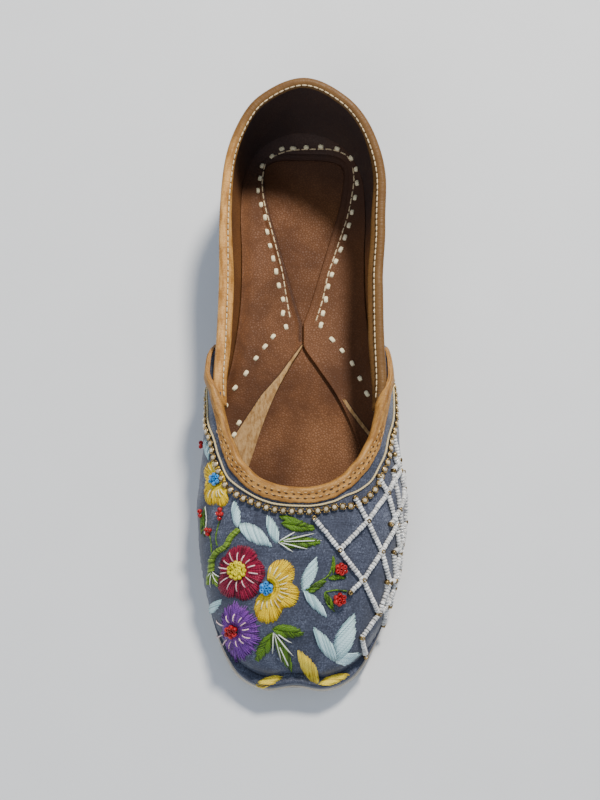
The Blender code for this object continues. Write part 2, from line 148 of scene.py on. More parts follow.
def soleRise(x, y):  # arch, toe spring and the raised middle of the toe
    share = 0.5 - y / last["length"]
    arch = np.where((share > 0.32) & (share < 0.58), np.sin(math.pi * (share - 0.32) / 0.26) ** 2, 0)
    lift = np.clip((share - 0.855) / 0.145, 0, 2)
    nose = np.exp(-((x / last["noseWidth"]) ** 2))
    return last["archRise"] * arch + last["toeSpring"] * lift**1.7 + last["noseRise"] * nose * lift**3


def soleTop(x, y):
    return soleRise(x, y) + last["soleThickness"]


def lastPoint(turn, height):  # the base surface: height 0 to 1 up a rib, down to -1 over the lip at its foot
    turn, height = np.broadcast_arrays(np.asarray(turn, float), np.asarray(height, float))
    oneSide, side = folded(turn)
    rib = ribAt(oneSide)
    half, lip = last["ballWidth"] / 2, rib[12]
    foot, out = footPlan(turn), outlineOut(turn)
    root = foot - out * (last["toeLip"] * lip)[..., None]
    footZ = soleTop(foot[..., 0], foot[..., 1]) + last["seat"] + last["wall"] * lip
    rootZ = soleTop(root[..., 0], root[..., 1]) + last["seat"] + last["wall"] * lip + last["lipRise"] * (1 - lip)
    foot = np.concatenate([foot, footZ[..., None]], axis=-1)
    root = np.concatenate([root, rootZ[..., None]], axis=-1)
    topZ = rib[5] * last["heelHeight"] + rib[6] * last["instepHeight"]
    top = np.stack([side * rib[3] * half, last["length"] * (0.5 - rib[4]), topZ], axis=-1)
    across = (top - root) * [1, 1, 0]
    rise = (top - root) * [0, 0, 1]
    swell = np.concatenate([out, np.zeros_like(out[..., :1])], axis=-1) * (rib[11] * half)[..., None]
    handle1 = root + across * rib[7][..., None] + swell + rise * rib[8][..., None]
    handle2 = root + across * rib[9][..., None] + swell / 2 + rise * rib[10][..., None]
    h = np.clip(height, 0, None)[..., None]
    wall = root * (1 - h) ** 3 + handle1 * 3 * (1 - h) ** 2 * h + handle2 * 3 * (1 - h) * h**2 + top * h**3
    lipShare = np.clip(-height, 0, 1)[..., None]
    point = np.where(height[..., None] < 0, root + (foot - root) * lipShare, wall)
    lean = leanAt(turn, height)
    flatter = smoothStep(7.0, 8.5, oneSide) * smoothStep(12.2, 10.4, oneSide)
    flatter = flatter * np.sin(math.pi * np.clip(height, 0, 1))
    lean[..., 0] += np.where(side > 0, worn["rightFlank"], worn["leftFlank"]) * flatter
    return point + np.stack([sway(point[..., 1]) + lean[..., 0], lean[..., 1], np.zeros_like(height)], axis=-1)


def lastFrame(turn, height):  # outward normal, way up the rib, way round the last
    up = lastPoint(turn, np.minimum(height + 0.02, 1)) - lastPoint(turn, np.maximum(height - 0.02, -1))
    around = lastPoint(turn + 0.04, height) - lastPoint(turn - 0.04, height)
    return unit(np.cross(up, around)), unit(up), unit(around)


def onLast(turn, height, off=0.0):  # a point off the last's base surface, in the part's frame
    turn, height, off = np.broadcast_arrays(turn, height, off)
    point = lastPoint(turn, height) + lastFrame(turn, height)[0] * np.asarray(off)[..., None]
    lowest = soleTop(point[..., 0] - sway(point[..., 1]), point[..., 1]) + last["seat"]
    point[..., 2] = np.maximum(point[..., 2], lowest)
    return point + last["place"]


def ribLength(turn):  # metres for one unit of height, near the rim
    return np.linalg.norm(lastPoint(turn, 1.0) - lastPoint(turn, 0.8), axis=-1) / 0.2


def edgeHeight(turn):  # the wings' rear edge as a height up the rib
    oneSide, side = folded(turn)
    return np.interp(oneSide, wingEdge[:, 0], wingEdge[:, 1])


def wallAt(turn, height):  # the lining is pared towards the throat's rim
    oneSide, side = folded(turn)
    return last["wall"] - worn["paredWall"] * smoothStep(6.9, 7.9, oneSide) * smoothStep(0.70, 0.95, height)


def covered(turn, height):  # 1 where the vamp's layer lies over the quarter
    oneSide, side = folded(turn)
    behind = smoothStep(-0.015, 0.015, oneSide - wingTip)
    below = smoothStep(-0.006, 0.006, edgeHeight(turn) - height)
    return behind * np.where(oneSide > throatStart, 1.0, below)


def srgb(r, g, b):
    return tuple(((v / 255 + 0.055) / 1.055) ** 2.4 if v > 10 else v / 255 / 12.92 for v in (r, g, b)) + (1.0,)


class Value:  # a socket, so that an expression on it adds Math nodes
    def __init__(self, finish, socket):
        self.finish, self.socket = finish, socket

    def math(self, kind, *others):
        return self.finish.node("ShaderNodeMath", {"operation": kind}, [self, *others])

    def __add__(self, other):
        return self.math("ADD", other)

    def __sub__(self, other):
        return self.math("SUBTRACT", other)

    def __mul__(self, other):
        return self.math("MULTIPLY", other)

    def __truediv__(self, other):
        return self.math("DIVIDE", other)

    def __rsub__(self, other):
        return self.finish.node("ShaderNodeMath", {"operation": "SUBTRACT"}, [other, self])

    __radd__ = __add__
    __rmul__ = __mul__


class Finish:
    def __init__(self, name, constants):
        self.material = bpy.data.materials.new(name)
        self.material.use_nodes = True
        self.tree = self.material.node_tree
        self.shader = self.tree.nodes["Principled BSDF"]
        for socket, value in constants.items():
            self.shader.inputs[socket].default_value = value

    def node(self, kind, settings=None, inputs=(), output=0):
        made = self.tree.nodes.new(kind)
        for name, value in (settings or {}).items():
            if name == "stops":
                ramp = made.color_ramp
                while len(ramp.elements) < len(value):
                    ramp.elements.new(0.5)
                for element, (place, colour) in zip(ramp.elements, value):
                    element.position, element.color = place, colour
            else:
                setattr(made, name, value)
        pairs = inputs.items() if isinstance(inputs, dict) else enumerate(inputs)
        for key, value in pairs:
            if value is None:
                continue
            if isinstance(value, Value):
                self.tree.links.new(value.socket, made.inputs[key])
            else:
                made.inputs[key].default_value = value
        return Value(self, made.outputs[output])

    def coordinate(self, kind="Object"):
        return self.node("ShaderNodeTexCoord", {}, (), kind)

    def attribute(self, name):
        return self.node("ShaderNodeAttribute", {"attribute_name": name}, (), "Fac")

    def parts(self, vector):
        split = self.node("ShaderNodeSeparateXYZ", {}, [vector])
        return [Value(self, split.socket.node.outputs[i]) for i in range(3)]

    def vector(self, x, y, z=0.0):
        return self.node("ShaderNodeCombineXYZ", {}, [x, y, z])

    def scaled(self, vector, x, y, z):
        return self.node("ShaderNodeVectorMath", {"operation": "MULTIPLY"}, [vector, (x, y, z)])

    def noise(self, vector, scale, detail, rough, twist=0.0):
        return self.node("ShaderNodeTexNoise", {}, {
            "Vector": vector, "Scale": scale, "Detail": detail, "Roughness": rough, "Distortion": twist})

    def cells(self, vector, scale):  # the distance to the nearest edge of a pebble
        return self.node("ShaderNodeTexVoronoi", {"feature": "DISTANCE_TO_EDGE"}, {
            "Vector": vector, "Scale": scale})

    def ramp(self, value, low, high):  # a smooth step between two pairs of place and value
        return self.node("ShaderNodeMapRange", {"interpolation_type": "SMOOTHSTEP"}, [
            value, low[0], high[0], low[1], high[1]])

    def mix(self, share, first, second, kind="MIX"):
        return self.node("ShaderNodeMix", {"data_type": "RGBA", "blend_type": kind}, {
            0: share, 6: first, 7: second}, 2)

    def bump(self, height, distance, strength, normal=None):
        return self.node("ShaderNodeBump", {}, {
            "Strength": strength, "Distance": distance, "Height": height, "Normal": normal})

    def drive(self, values):
        for socket, value in values.items():
            self.tree.links.new(value.socket, self.shader.inputs[socket])


def silkFinish():
    silk = {"dark": srgb(48, 52, 66), "plain": srgb(78, 83, 99), "pale": srgb(120, 126, 142), "weave": 0.00055}
    f = Finish("slateSilk", {"Sheen Weight": 0.22, "Sheen Roughness": 0.45, "Specular IOR Level": 0.32})
    x, y, z = f.parts(f.coordinate())
    side = x.math("ABSOLUTE") - z * 0.9  # runs across the shoe on the top and down its sides
    cloth = f.vector(side, y, z * 0.15)
    fine, long = 1 / silk["weave"], 1 / (14 * silk["weave"])
    warp = f.noise(f.vector(side * fine, y * long, z * long), 1.0, 2.5, 0.6)
    weft = f.noise(f.vector(side * long, y * fine, z * long), 1.0, 2.5, 0.6)
    slub = f.noise(f.vector(side * 90, y * 1400, z * 90), 1.0, 2.0, 0.5)
    patch = f.noise(cloth, 60.0, 4.0, 0.6)
    speck = f.noise(f.coordinate(), 1500.0, 2.0, 0.7)
    thread = warp * 0.5 + weft * 0.5
    tone = f.ramp(thread * 0.55 + speck * 0.45, (0.36, 0.0), (0.66, 1.0))
    colour = f.mix(tone, silk["dark"], silk["plain"])
    light = f.ramp(slub, (0.62, 0.0), (0.78, 0.25)) + f.ramp(speck * 0.6 + patch * 0.4, (0.50, 0.0), (0.68, 0.65))
    colour = f.mix(light.math("MINIMUM", 0.7), colour, silk["pale"])
    shade = f.ramp(patch, (0.30, 0.84), (0.70, 1.12))
    colour = f.mix(1.0, colour, f.vector(shade, shade, shade), "MULTIPLY")
    height = thread * 0.7 + slub * 0.3
    f.drive({"Base Color": colour, "Roughness": f.ramp(thread, (0.3, 0.62), (0.7, 0.84)),
             "Normal": f.bump(height, 0.00022, 0.75, f.bump(patch, 0.0009, 0.35))})
    return f.material


def leatherFinish(name, pale, plain, dark, grain, rough, heelShadeAmount, heelShadeStart, rawBand=False):
    f = Finish(name, {"Specular IOR Level": 0.18})
    place = f.coordinate()
    x, y, z = f.parts(place)
    pebble = f.ramp(f.cells(place, 1 / grain), (0.0, 0.0), (0.35, 1.0))
    fine = f.noise(place, 2 / grain, 2.0, 0.6)
    broad = f.noise(place, 45.0, 4.0, 0.6, 0.3)
    cloud = f.noise(place, 16.0, 3.0, 0.55)
    fold = f.noise(f.scaled(place, 60, 170, 60), 1.0, 4.0, 0.6, 0.5)
    colour = f.mix(f.ramp(broad, (0.32, 0.0), (0.68, 1.0)), dark, plain)
    colour = f.mix(f.ramp(cloud, (0.45, 0.0), (0.72, 0.5)), colour, pale)
    colour = f.mix(f.ramp(fine * 0.4 + pebble * 0.6, (0.20, 0.5), (0.62, 0.0)), colour, dark)
    toHeel = y + x * 0.45 + (broad - 0.5) * 0.02  # painted shade: darker and greyer towards the heel, sooner on the right, where the heel's shadow falls
    colour = f.mix(f.ramp(toHeel, (heelShadeStart, 0.0), (heelShadeStart + 0.030, heelShadeAmount)), colour, srgb(62, 54, 53))
    height = pebble * 0.45 + fine * 0.35 + f.ramp(fold, (0.3, 0.0), (0.7, 1.0)) * 0.5
    roughness = f.ramp(broad * 0.6 + pebble * 0.4, (0.3, rough[1]), (0.7, rough[0]))
    if rawBand:  # a pale flesh side where the edge is turned, a dark edge beside it that is also painted shade along the flaps' cut edges, and painted shade over the right flap
        cut = f.attribute("raw") + (fine - 0.5) * 0.4
        bare, edgeDarkAndShade = f.ramp(cut, (-0.1, 0.0), (0.15, 1.0)), f.ramp(cut, (-0.75, 0.0), (-0.1, 0.75))
        # painted shade: the right flap darker where the right wall's shadow falls
        colour = f.mix(f.ramp(x + (cloud - 0.5) * 0.01, (0.004, 0.0), (0.018, 0.5)), colour, dark)
        fibre = f.noise(f.scaled(place, 900, 300, 900), 1.0, 3.0, 0.65)
        flesh = f.mix(f.ramp(fibre, (0.34, 0.0), (0.66, 1.0)), srgb(150, 112, 68), srgb(188, 152, 104))
        colour = f.mix(bare, f.mix(edgeDarkAndShade, colour, srgb(58, 34, 20)), flesh)
        roughness = roughness + bare * 0.3
        height = height * (1 - bare * 0.6) + fibre * bare * 0.5
    f.drive({"Base Color": colour, "Roughness": roughness, "Normal": f.bump(height, 0.00026, 0.5)})
    return f.material


def bindingFinish(name, pale, plain, dark, shadedHeelAndRight=False, rows=(), pitch=0.0027):
    f = Finish(name, {"Specular IOR Level": 0.25})
    place = f.coordinate()
    x, y, z = f.parts(place)
    along, across, nothing = f.parts(f.coordinate("UV"))
    broad = f.noise(f.vector(along * 120, across * 500), 1.0, 4.0, 0.6)
    fine = f.noise(place, 2600.0, 2.0, 0.6)
    wrinkle = f.noise(f.vector(along * 900, across * 160), 1.0, 3.0, 0.6, 0.4)
    colour = f.mix(f.ramp(broad, (0.3, 0.0), (0.65, 1.0)), dark, plain)
    colour = f.mix(f.ramp(fine * 0.5 + broad * 0.5, (0.45, 0.0), (0.68, 0.75)), colour, pale)
    if shadedHeelAndRight:  # painted shade at the heel and on the right, where the collar's visible side faces away from the key light
        collarShade = f.ramp(y, (0.080, 0.0), (0.112, 0.92)) + f.ramp(x, (0.0, 0.0), (0.030, 0.92))
        colour = f.mix(collarShade.math("MINIMUM", 0.9), colour, srgb(96, 66, 32))
    height = fine * 0.4 + f.ramp(wrinkle, (0.3, 0.0), (0.7, 1.0)) * 0.6
    holes = None
    for k, row in enumerate(rows):  # a row of needle holes at this distance across
        cell = (along / pitch + 0.5 * k).math("FRACT") - 0.5
        down = (across - row) / pitch
        reach = cell * cell + down * down * 1.7
        hole = f.ramp(reach, (0.018, 1.0), (0.060, 0.0)) * f.ramp(y, (-0.024, 1.0), (-0.020, 0.0))
        holes = hole if holes is None else holes.math("MAXIMUM", hole)
    # painted shade: the needle holes are coloured dark for the shade inside them
    if holes is not None:
        colour = f.mix(holes * 0.92, colour, srgb(52, 32, 18))
        height = height - holes * 2.2
    f.drive({"Base Color": colour, "Roughness": f.ramp(broad, (0.3, 0.6), (0.7, 0.42)),
             "Normal": f.bump(height, 0.0003, 0.6)})
    return f.material


def soleFinish():
    f = Finish("soleLeather", {})
    place = f.coordinate()
    along, across, nothing = f.parts(f.coordinate("UV"))
    broad = f.noise(place, 35.0, 4.0, 0.6)
    layers = f.noise(f.vector(along * 30, across * 2600), 1.0, 3.0, 0.6)
    fine = f.noise(place, 1800.0, 2.0, 0.6)
    scuff = f.noise(f.scaled(place, 260, 60, 200), 1.0, 5.0, 0.7)
    colour = f.mix(f.ramp(broad, (0.3, 0.0), (0.7, 1.0)), srgb(168, 154, 134), srgb(206, 196, 178))
    colour = f.mix(f.ramp(layers, (0.52, 0.0), (0.66, 0.5)), colour, srgb(118, 98, 76))
    colour = f.mix(f.ramp(scuff, (0.56, 0.0), (0.72, 0.5)), colour, srgb(120, 100, 80))
    f.drive({"Base Color": colour, "Roughness": f.ramp(scuff, (0.35, 0.55), (0.7, 0.78)),
             "Normal": f.bump(fine * 0.5 + layers * 0.5, 0.0003, 0.5)})
    return f.material


def threadFinish(name, colour, rough=0.42, twist=0.0011, spread=0.35, grooveShade=0.45):
    # mercerised thread, twisted along its length, with grooves between its plies, painted darker as shade
    f = Finish(name, {"Roughness": rough, "Sheen Weight": 0.04, "Sheen Roughness": 0.4,
                      "Specular IOR Level": 0.28})
    along, around, nothing = f.parts(f.coordinate("UV"))
    ply = ((along / twist + around * 2.0) * (2 * math.pi)).math("SINE")
    fibre = f.noise(f.vector(along * 500, around * 9), 1.0, 2.0, 0.6)
    own = f.attribute("shade")
    dark = tuple(v * (1 - spread) ** 2 for v in colour[:3]) + (1.0,)
    pale = tuple(min(1.0, v * (1 + spread) + 0.02 * spread) for v in colour[:3]) + (1.0,)
    tone = f.ramp(own * 0.6 + fibre * 0.4, (0.15, 0.0), (0.58, 1.0))
    # painted shade in the grooves between the plies
    shadeColour = f.mix(f.ramp(ply, (-1.0, grooveShade), (0.2, 0.0)), f.mix(tone, dark, pale), dark)
    f.drive({"Base Color": shadeColour, "Normal": f.bump(ply * 0.6 + fibre * 0.4, 0.00012, 0.6)})
    return f.material


def glassFinish(name, colour, rough, coat):
    f = Finish(name, {"Coat Weight": coat, "Coat Roughness": 0.06, "Specular IOR Level": 0.35})
    own = f.attribute("shade")
    dark = tuple(v * 0.72 for v in colour[:3]) + (1.0,)
    pale = tuple(min(1.0, v * 1.15 + 0.01) for v in colour[:3]) + (1.0,)
    place = f.noise(f.coordinate(), 700.0, 2.0, 0.5)
    f.drive({"Base Color": f.mix(f.ramp(own * 0.7 + place * 0.3, (0.2, 0.0), (0.8, 1.0)), dark, pale),
             "Roughness": f.ramp(place, (0.3, rough), (0.7, rough + 0.14))})
    return f.material


def metalFinish(name, colour, rough):
    f = Finish(name, {"Metallic": 1.0})
    place = f.noise(f.coordinate(), 900.0, 3.0, 0.6)
    dark = tuple(v * 0.45 for v in colour[:3]) + (1.0,)
    f.drive({"Base Color": f.mix(f.ramp(place, (0.35, 0.0), (0.62, 1.0)), dark, colour),
             "Roughness": f.ramp(place, (0.3, rough + 0.2), (0.7, rough))})
    return f.material


finishes = {
    "silk": silkFinish(),
    "lining": leatherFinish("liningLeather", srgb(158, 108, 66), srgb(134, 89, 52), srgb(98, 63, 36),
                            0.0007, (0.5, 0.68), 0.85, 0.068),
    "sock": leatherFinish("sockLeather", srgb(144, 96, 56), srgb(116, 73, 40), srgb(80, 47, 24),
                          0.0011, (0.48, 0.7), 0.4, 0.084),
    "collar": bindingFinish("collarLeather", srgb(238, 182, 106), srgb(208, 150, 78), srgb(162, 108, 46), True),
    "throat": bindingFinish("throatLeather", srgb(198, 150, 86), srgb(170, 120, 56), srgb(130, 86, 36),
                            rows=(0.0021, 0.0041)),
    "flap": leatherFinish("flapLeather", srgb(146, 98, 60), srgb(117, 74, 42), srgb(80, 48, 26),
                          0.0010, (0.5, 0.7), 0.7, 0.074, True),
    "tanThread": threadFinish("tanThread", srgb(200, 160, 108), 0.55, 0.0009, 0.15),
    "sole": soleFinish(),
    "cream": threadFinish("creamThread", srgb(255, 238, 194), 0.6, 0.0016, 0.04, 0.1),
    "fineCream": threadFinish("fineCreamThread", srgb(226, 200, 156), 0.6, 0.0009, 0.08, 0.2),
    "cord": threadFinish("gildedCord", srgb(196, 176, 128), 0.4, 0.0012, 0.3),
    "crimson": threadFinish("crimsonThread", srgb(132, 0, 44), spread=0.45),
    "yellow": threadFinish("yellowThread", srgb(255, 190, 6), spread=0.34),
    "gold": threadFinish("goldThread", srgb(255, 210, 60), spread=0.2),
    "purple": threadFinish("purpleThread", srgb(112, 54, 140)),
    "mint": threadFinish("mintThread", srgb(200, 255, 255), 0.4, 0.0011, 0.32, 0.6),
    "green": threadFinish("greenThread", srgb(80, 114, 10), 0.42, 0.0011, 0.45),
    "stem": threadFinish("stemThread", srgb(118, 146, 40)),
    "pale": threadFinish("paleThread", srgb(244, 246, 226), 0.42, 0.0011, 0.15),
    "pink": threadFinish("pinkThread", srgb(250, 204, 200), 0.42, 0.0011, 0.15),
    "straw": threadFinish("strawThread", srgb(255, 232, 172), 0.42, 0.0011, 0.15),
    "white": glassFinish("whiteBead", srgb(236, 234, 228), 0.22, 0.35),
    "blue": glassFinish("blueBead", srgb(44, 140, 212), 0.3, 0.12),
    "lemon": glassFinish("lemonBead", srgb(222, 204, 0), 0.45, 0.0),
    "red": glassFinish("redBead", srgb(172, 8, 6), 0.3, 0.12),
    "stone": glassFinish("clearStone", srgb(206, 190, 160), 0.05, 1.0),
    "brass": metalFinish("agedGilt", srgb(186, 156, 100), 0.28),
}
print("finishes made")


def settle(name, bm, slots, replaced):  # a bmesh made a finished piece
    mesh = bpy.data.meshes.new(name)
    bm.to_mesh(mesh)
    bm.free()
    return dress(name, mesh, slots, replaced)


def dress(name, mesh, slots, replaced=(), smooth=True):  # a piece with its finishes, riding on the shoe
    for slotName in slots:
        mesh.materials.append(finishes[slotName])
    if smooth:
        mesh.shade_smooth()
    piece = bpy.data.objects.new(name, mesh)
    bpy.context.scene.collection.objects.link(piece)
    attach(piece, "root")
    if replaced:
        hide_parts(*replaced)
    return piece


def sheetGrid(across, along, place, pick=None):  # a grid whose vertices go where place(u, v) says
    bm = bmesh.new()
    bm.loops.layers.uv.new("chart")
    bmesh.ops.create_grid(bm, x_segments=across, y_segments=along, size=0.5, calc_uvs=True)
    if pick is not None:
        for face in bm.faces:
            middle = face.calc_center_median()
            face.material_index = pick(middle.x + 0.5, middle.y + 0.5)
    u = np.array([vertex.co.x + 0.5 for vertex in bm.verts])
    v = np.array([vertex.co.y + 0.5 for vertex in bm.verts])
    for vertex, point in zip(bm.verts, place(u, v)):
        vertex.co = point
    bmesh.ops.remove_doubles(bm, verts=bm.verts, dist=2e-6)
    bmesh.ops.dissolve_degenerate(bm, edges=bm.edges, dist=1e-6)
    return bm


def tubes(name, paths, normals, halfWidth, halfHeight, slots, sides=6):
    # many closed threads as one mesh; paths and normals are (threads, points, 3)
    paths, normals = np.asarray(paths), np.asarray(normals)
    count, steps = paths.shape[:2]
    halfWidth = np.broadcast_to(np.asarray(halfWidth, float), (count, steps))
    halfHeight = np.broadcast_to(np.asarray(halfHeight, float), (count, steps))
    ahead = unit(np.gradient(paths, axis=1))
    beside = unit(np.cross(ahead, normals))
    above = np.cross(beside, ahead)
    angle = -math.pi / 2 + np.arange(sides) * 2 * math.pi / sides
    verts = (paths[:, :, None] + beside[:, :, None] * (halfWidth[..., None] * np.cos(angle))[..., None]
             + above[:, :, None] * (halfHeight[..., None] * np.sin(angle))[..., None])
    length = np.concatenate([np.zeros((count, 1)),
                             np.cumsum(np.linalg.norm(np.diff(paths, axis=1), axis=-1), axis=1)], axis=1)
    chart = np.stack(np.broadcast_arrays(length[:, :, None], np.arange(sides) / sides), axis=-1).reshape(-1, 2)
    i, j, k = np.meshgrid(np.arange(count), np.arange(steps - 1), np.arange(sides), indexing="ij")
    at = lambda a, b, c: (a * steps + b) * sides + np.mod(c, sides)
    walls = np.stack([at(i, j, k), at(i, j, k + 1), at(i, j + 1, k + 1), at(i, j + 1, k)], axis=-1).reshape(-1, 4)
    ends = np.arange(count)[:, None]
    first = at(ends, 0, np.arange(sides)[::-1])
    final = at(ends, steps - 1, np.arange(sides))
    faces = walls.tolist() + first.tolist() + final.tolist()
    mesh = bpy.data.meshes.new(name)
    mesh.from_pydata(verts.reshape(-1, 3).tolist(), [], faces)
    wallOut = np.cross(verts[:, 0, 1] - verts[:, 0, 0], verts[:, 1, 0] - verts[:, 0, 0])
    if np.sum(wallOut * (verts[:, 0, 0] - paths[:, 0])) < 0:
        mesh.flip_normals()
    order = np.empty(len(mesh.loops), int)
    mesh.loops.foreach_get("vertex_index", order)
    mesh.uv_layers.new(name="chart").data.foreach_set("uv", chart[order].ravel())
    layer = mesh.attributes.new("shade", "FLOAT", "POINT")
    layer.data.foreach_set("value", np.repeat(dice.random(count), steps * sides))
    return dress(name, mesh, slots)


def stamped(name, template, centres, frames, slots, smooth=True):
    # copies of a small bmesh as one mesh; frames are (copies, 3, 3) with the scaled axes as rows
    template.verts.ensure_lookup_table()
    shape = np.array([vertex.co for vertex in template.verts])
    loops = [[vertex.index for vertex in face.verts] for face in template.faces]
    picks = [face.material_index for face in template.faces]
    template.free()
    centres, frames = np.asarray(centres), np.asarray(frames)
    verts = centres[:, None] + np.einsum("vk,nkc->nvc", shape, frames)
    faces = [[v + n * len(shape) for v in loop] for n in range(len(centres)) for loop in loops]
    mesh = bpy.data.meshes.new(name)
    mesh.from_pydata(verts.reshape(-1, 3).tolist(), [], faces)
    mesh.polygons.foreach_set("material_index", np.tile(picks, len(centres)))
    layer = mesh.attributes.new("shade", "FLOAT", "POINT")
    layer.data.foreach_set("value", np.repeat(dice.random(len(centres)), len(shape)))
    if np.linalg.det(frames[0]) < 0:
        mesh.flip_normals()
    return dress(name, mesh, slots, (), smooth)


def bead(hole, sides=6):  # a seed bead along Z, one unit wide: its section spun round its hole
    bm = bmesh.new()
    centre, reach = 0.25 * (1 + hole), 0.25 * (1 - hole)
    points = [bm.verts.new((centre + reach * math.cos(a), 0, 0.5 * math.sin(a)))
              for a in (2 * math.pi * k / sides for k in range(sides))]
    section = [bm.edges.new((points[k], points[(k + 1) % sides])) for k in range(sides)]
    bmesh.ops.spin(bm, geom=points + section, cent=(0, 0, 0), axis=(0, 0, 1), angle=2 * math.pi, steps=10,
                   use_merge=True)
    bmesh.ops.recalc_face_normals(bm, faces=bm.faces)
    return bm


def squareTo(normals, ahead=None):  # right handed frames whose last row is the normal
    normals = unit(np.asarray(normals))
    guide = np.broadcast_to([1.0, 0.0, 0.0], normals.shape) if ahead is None else np.asarray(ahead)
    side = unit(guide - normals * np.sum(guide * normals, axis=-1, keepdims=True))
    return np.stack([side, np.cross(normals, side), normals], axis=-2)


# the photo's camera: degrees and metres, the sensor in millimetres, the rest in pixels
view = {"tilt": 17.2, "roll": 0.83, "target": (-0.00123, -0.0061, 0.020), "distance": 0.65, "focus": 1566.0,
        "photo": (600, 800), "sensor": 36, "vampMiddle": (300, 540)}


def viewAxes():  # the camera's right, up and back, and where it stands
    tilt, roll = math.radians(view["tilt"]), math.radians(view["roll"])
    back = np.array([0, -math.sin(tilt), math.cos(tilt)])
    right, up = np.array([1.0, 0, 0]), np.array([0, math.cos(tilt), math.sin(tilt)])
    return (right * math.cos(roll) + up * math.sin(roll), up * math.cos(roll) - right * math.sin(roll), back,
            np.array(view["target"]) + back * view["distance"])


def makeCamera():
    right, up, back, eye = viewAxes()
    data = bpy.data.cameras.new("camera")
    data.lens = view["focus"] * view["sensor"] / view["photo"][1]
    data.sensor_width = view["sensor"]
    data.clip_start = 0.01
    camera = bpy.data.objects.new("camera", data)
    matrix = Matrix.Identity(4)
    for column, axis in enumerate((right, up, back, eye)):
        for row in range(3):
            matrix[row][column] = axis[row]
    camera.matrix_world = matrix
    bpy.context.scene.collection.objects.link(camera)
    bpy.context.scene.camera = camera


# the silk upper: the rows of its grid, and its relief in metres
upper = {"along": 620, "outerRows": 66, "innerRows": 36, "lipRows": 6, "ripple": 0.00016, "pucker": 0.00022,
         "toeValley": 0.0009, "toeCrease": 0.0005, "quarterWave": 0.00018}


def softRelief(turn, height):  # troughs and ridges of the cloth, in metres
    point = lastPoint(turn, height)
    x, y = point[..., 0], point[..., 1]
    oneSide, side = folded(turn)
    waves = np.sin(x * 310 + y * 120 + 1.0) + np.sin(x * 150 - y * 260 + 0.4) + np.sin(y * 410 + x * 60)
    relief = upper["ripple"] * waves * smoothStep(0.0, 0.25, height) * smoothStep(1.0, 0.75, height)
    gather = np.sin(oneSide * 38 + 2 * np.sin(oneSide * 5)) * np.exp(-((height - 0.05) / 0.07) ** 2)
    relief = relief + upper["pucker"] * gather * smoothStep(12.5, 11, oneSide)
    toe = smoothStep(11.2, 13.2, oneSide)
    relief = relief - upper["toeValley"] * toe * np.exp(-((height - 0.07) / 0.06) ** 2)
    crease = np.exp(-((x - 0.0005) / 0.0022) ** 2) * smoothStep(-0.100, -0.115, y)
    relief = relief + upper["toeCrease"] * crease * smoothStep(0.0, 0.05, height) * smoothStep(0.30, 0.12, height)
    behind = np.sin(oneSide * 7.0 + 2.5 * height) * smoothStep(6, 5, oneSide)
    return relief + upper["quarterWave"] * behind * np.sin(math.pi * np.clip(height, 0, 1))


def wingLift(turn, height):  # the loose wings stand off the quarters
    oneSide, side = folded(turn)
    loose = smoothStep(5.8, 6.35, oneSide) * smoothStep(7.05, 6.6, oneSide) * smoothStep(0.40, 0.72, height)
    higher = smoothStep(edgeHeight(turn) - 0.45, edgeHeight(turn), height)
    return np.where(side < 0, worn["leftWing"], worn["rightWing"]) * loose * higher


def makeUpper():
    rows = upper["outerRows"]
    lipH = np.linspace(-1, 0, upper["lipRows"] + 1)[:-1]
    outerH = np.concatenate([lipH, np.linspace(0, 1, rows + 1)])
    innerH = np.concatenate([np.linspace(1, 0, upper["innerRows"] + 1), lipH[::-1]])
    heights = np.concatenate([outerH, innerH, outerH[:1]])
    outer = np.concatenate([np.ones(len(outerH)), np.zeros(len(innerH)), [1]])
    count = len(heights) - 1

    def place(u, v):
        index = np.rint(u * count).astype(int)
        turn, height, out = v * 2 * lastRib, heights[index], outer[index]
        skin = (last["vampLayer"] + wingLift(turn, height)) * covered(turn, height) + softRelief(turn, height)
        return onLast(turn, height, np.where(out > 0, skin, -wallAt(turn, height)))

    inside = lambda u, v: 1 if len(outerH) - 0.5 < u * count < count - 1.5 else 0
    bm = sheetGrid(count, upper["along"], place, inside)
    bmesh.ops.recalc_face_normals(bm, faces=bm.faces)
    return settle("upperShell", bm, ["silk", "lining"], ["upper"])


upperShell = makeUpper()
print("upper shaped:", len(upperShell.data.polygons), "faces")


def treeOf(*pieces):  # finished pieces that rays can be cast at
    joined = bmesh.new()
    for piece in pieces:
        joined.from_mesh(piece.data)
    return BVHTree.FromBMesh(joined)


shellTree = treeOf(upperShell)


def onVamp(pixels):  # places and normals on the vamp, along the camera's rays through the photo's pixels
    # a ray that misses is nudged towards the vamp's middle until it lands
    right, up, back, eye = viewAxes()
    (width, height), (middleX, middleY) = view["photo"], view["vampMiddle"]
    pixels = np.asarray(pixels, float)
    flat = pixels.reshape(-1, 2)
    places, normals = np.empty((len(flat), 3)), np.empty((len(flat), 3))
    for n, (px, py) in enumerate(flat):
        for nudge in range(40):
            qx = px + (middleX - px) * 0.006 * nudge
            qy = py + (middleY - py) * 0.004 * nudge
            ray = -back + right * (qx - width / 2) / view["focus"] - up * (qy - height / 2) / view["focus"]
            hit = shellTree.ray_cast(Vector(eye), Vector(ray).normalized())
            if hit[0] is not None and hit[1].z > 0.02:
                break
        places[n], normals[n] = hit[0], hit[1]
    return places.reshape(*pixels.shape[:-1], 3), normals.reshape(*pixels.shape[:-1], 3)


def walkedAlong(line):  # how far along a line each of its points lies
    return np.concatenate([[0], np.cumsum(np.linalg.norm(np.diff(line, axis=0), axis=1))])


def spotsAt(line, walked, at):  # what a line holds at these distances along it
    return np.stack([np.interp(at, walked, column) for column in line.T], axis=-1)


def evenly(line, step):  # a line resampled at even steps
    walked = walkedAlong(line)
    return spotsAt(line, walked, np.linspace(0, walked[-1], max(2, int(round(walked[-1] / step)) + 1)))


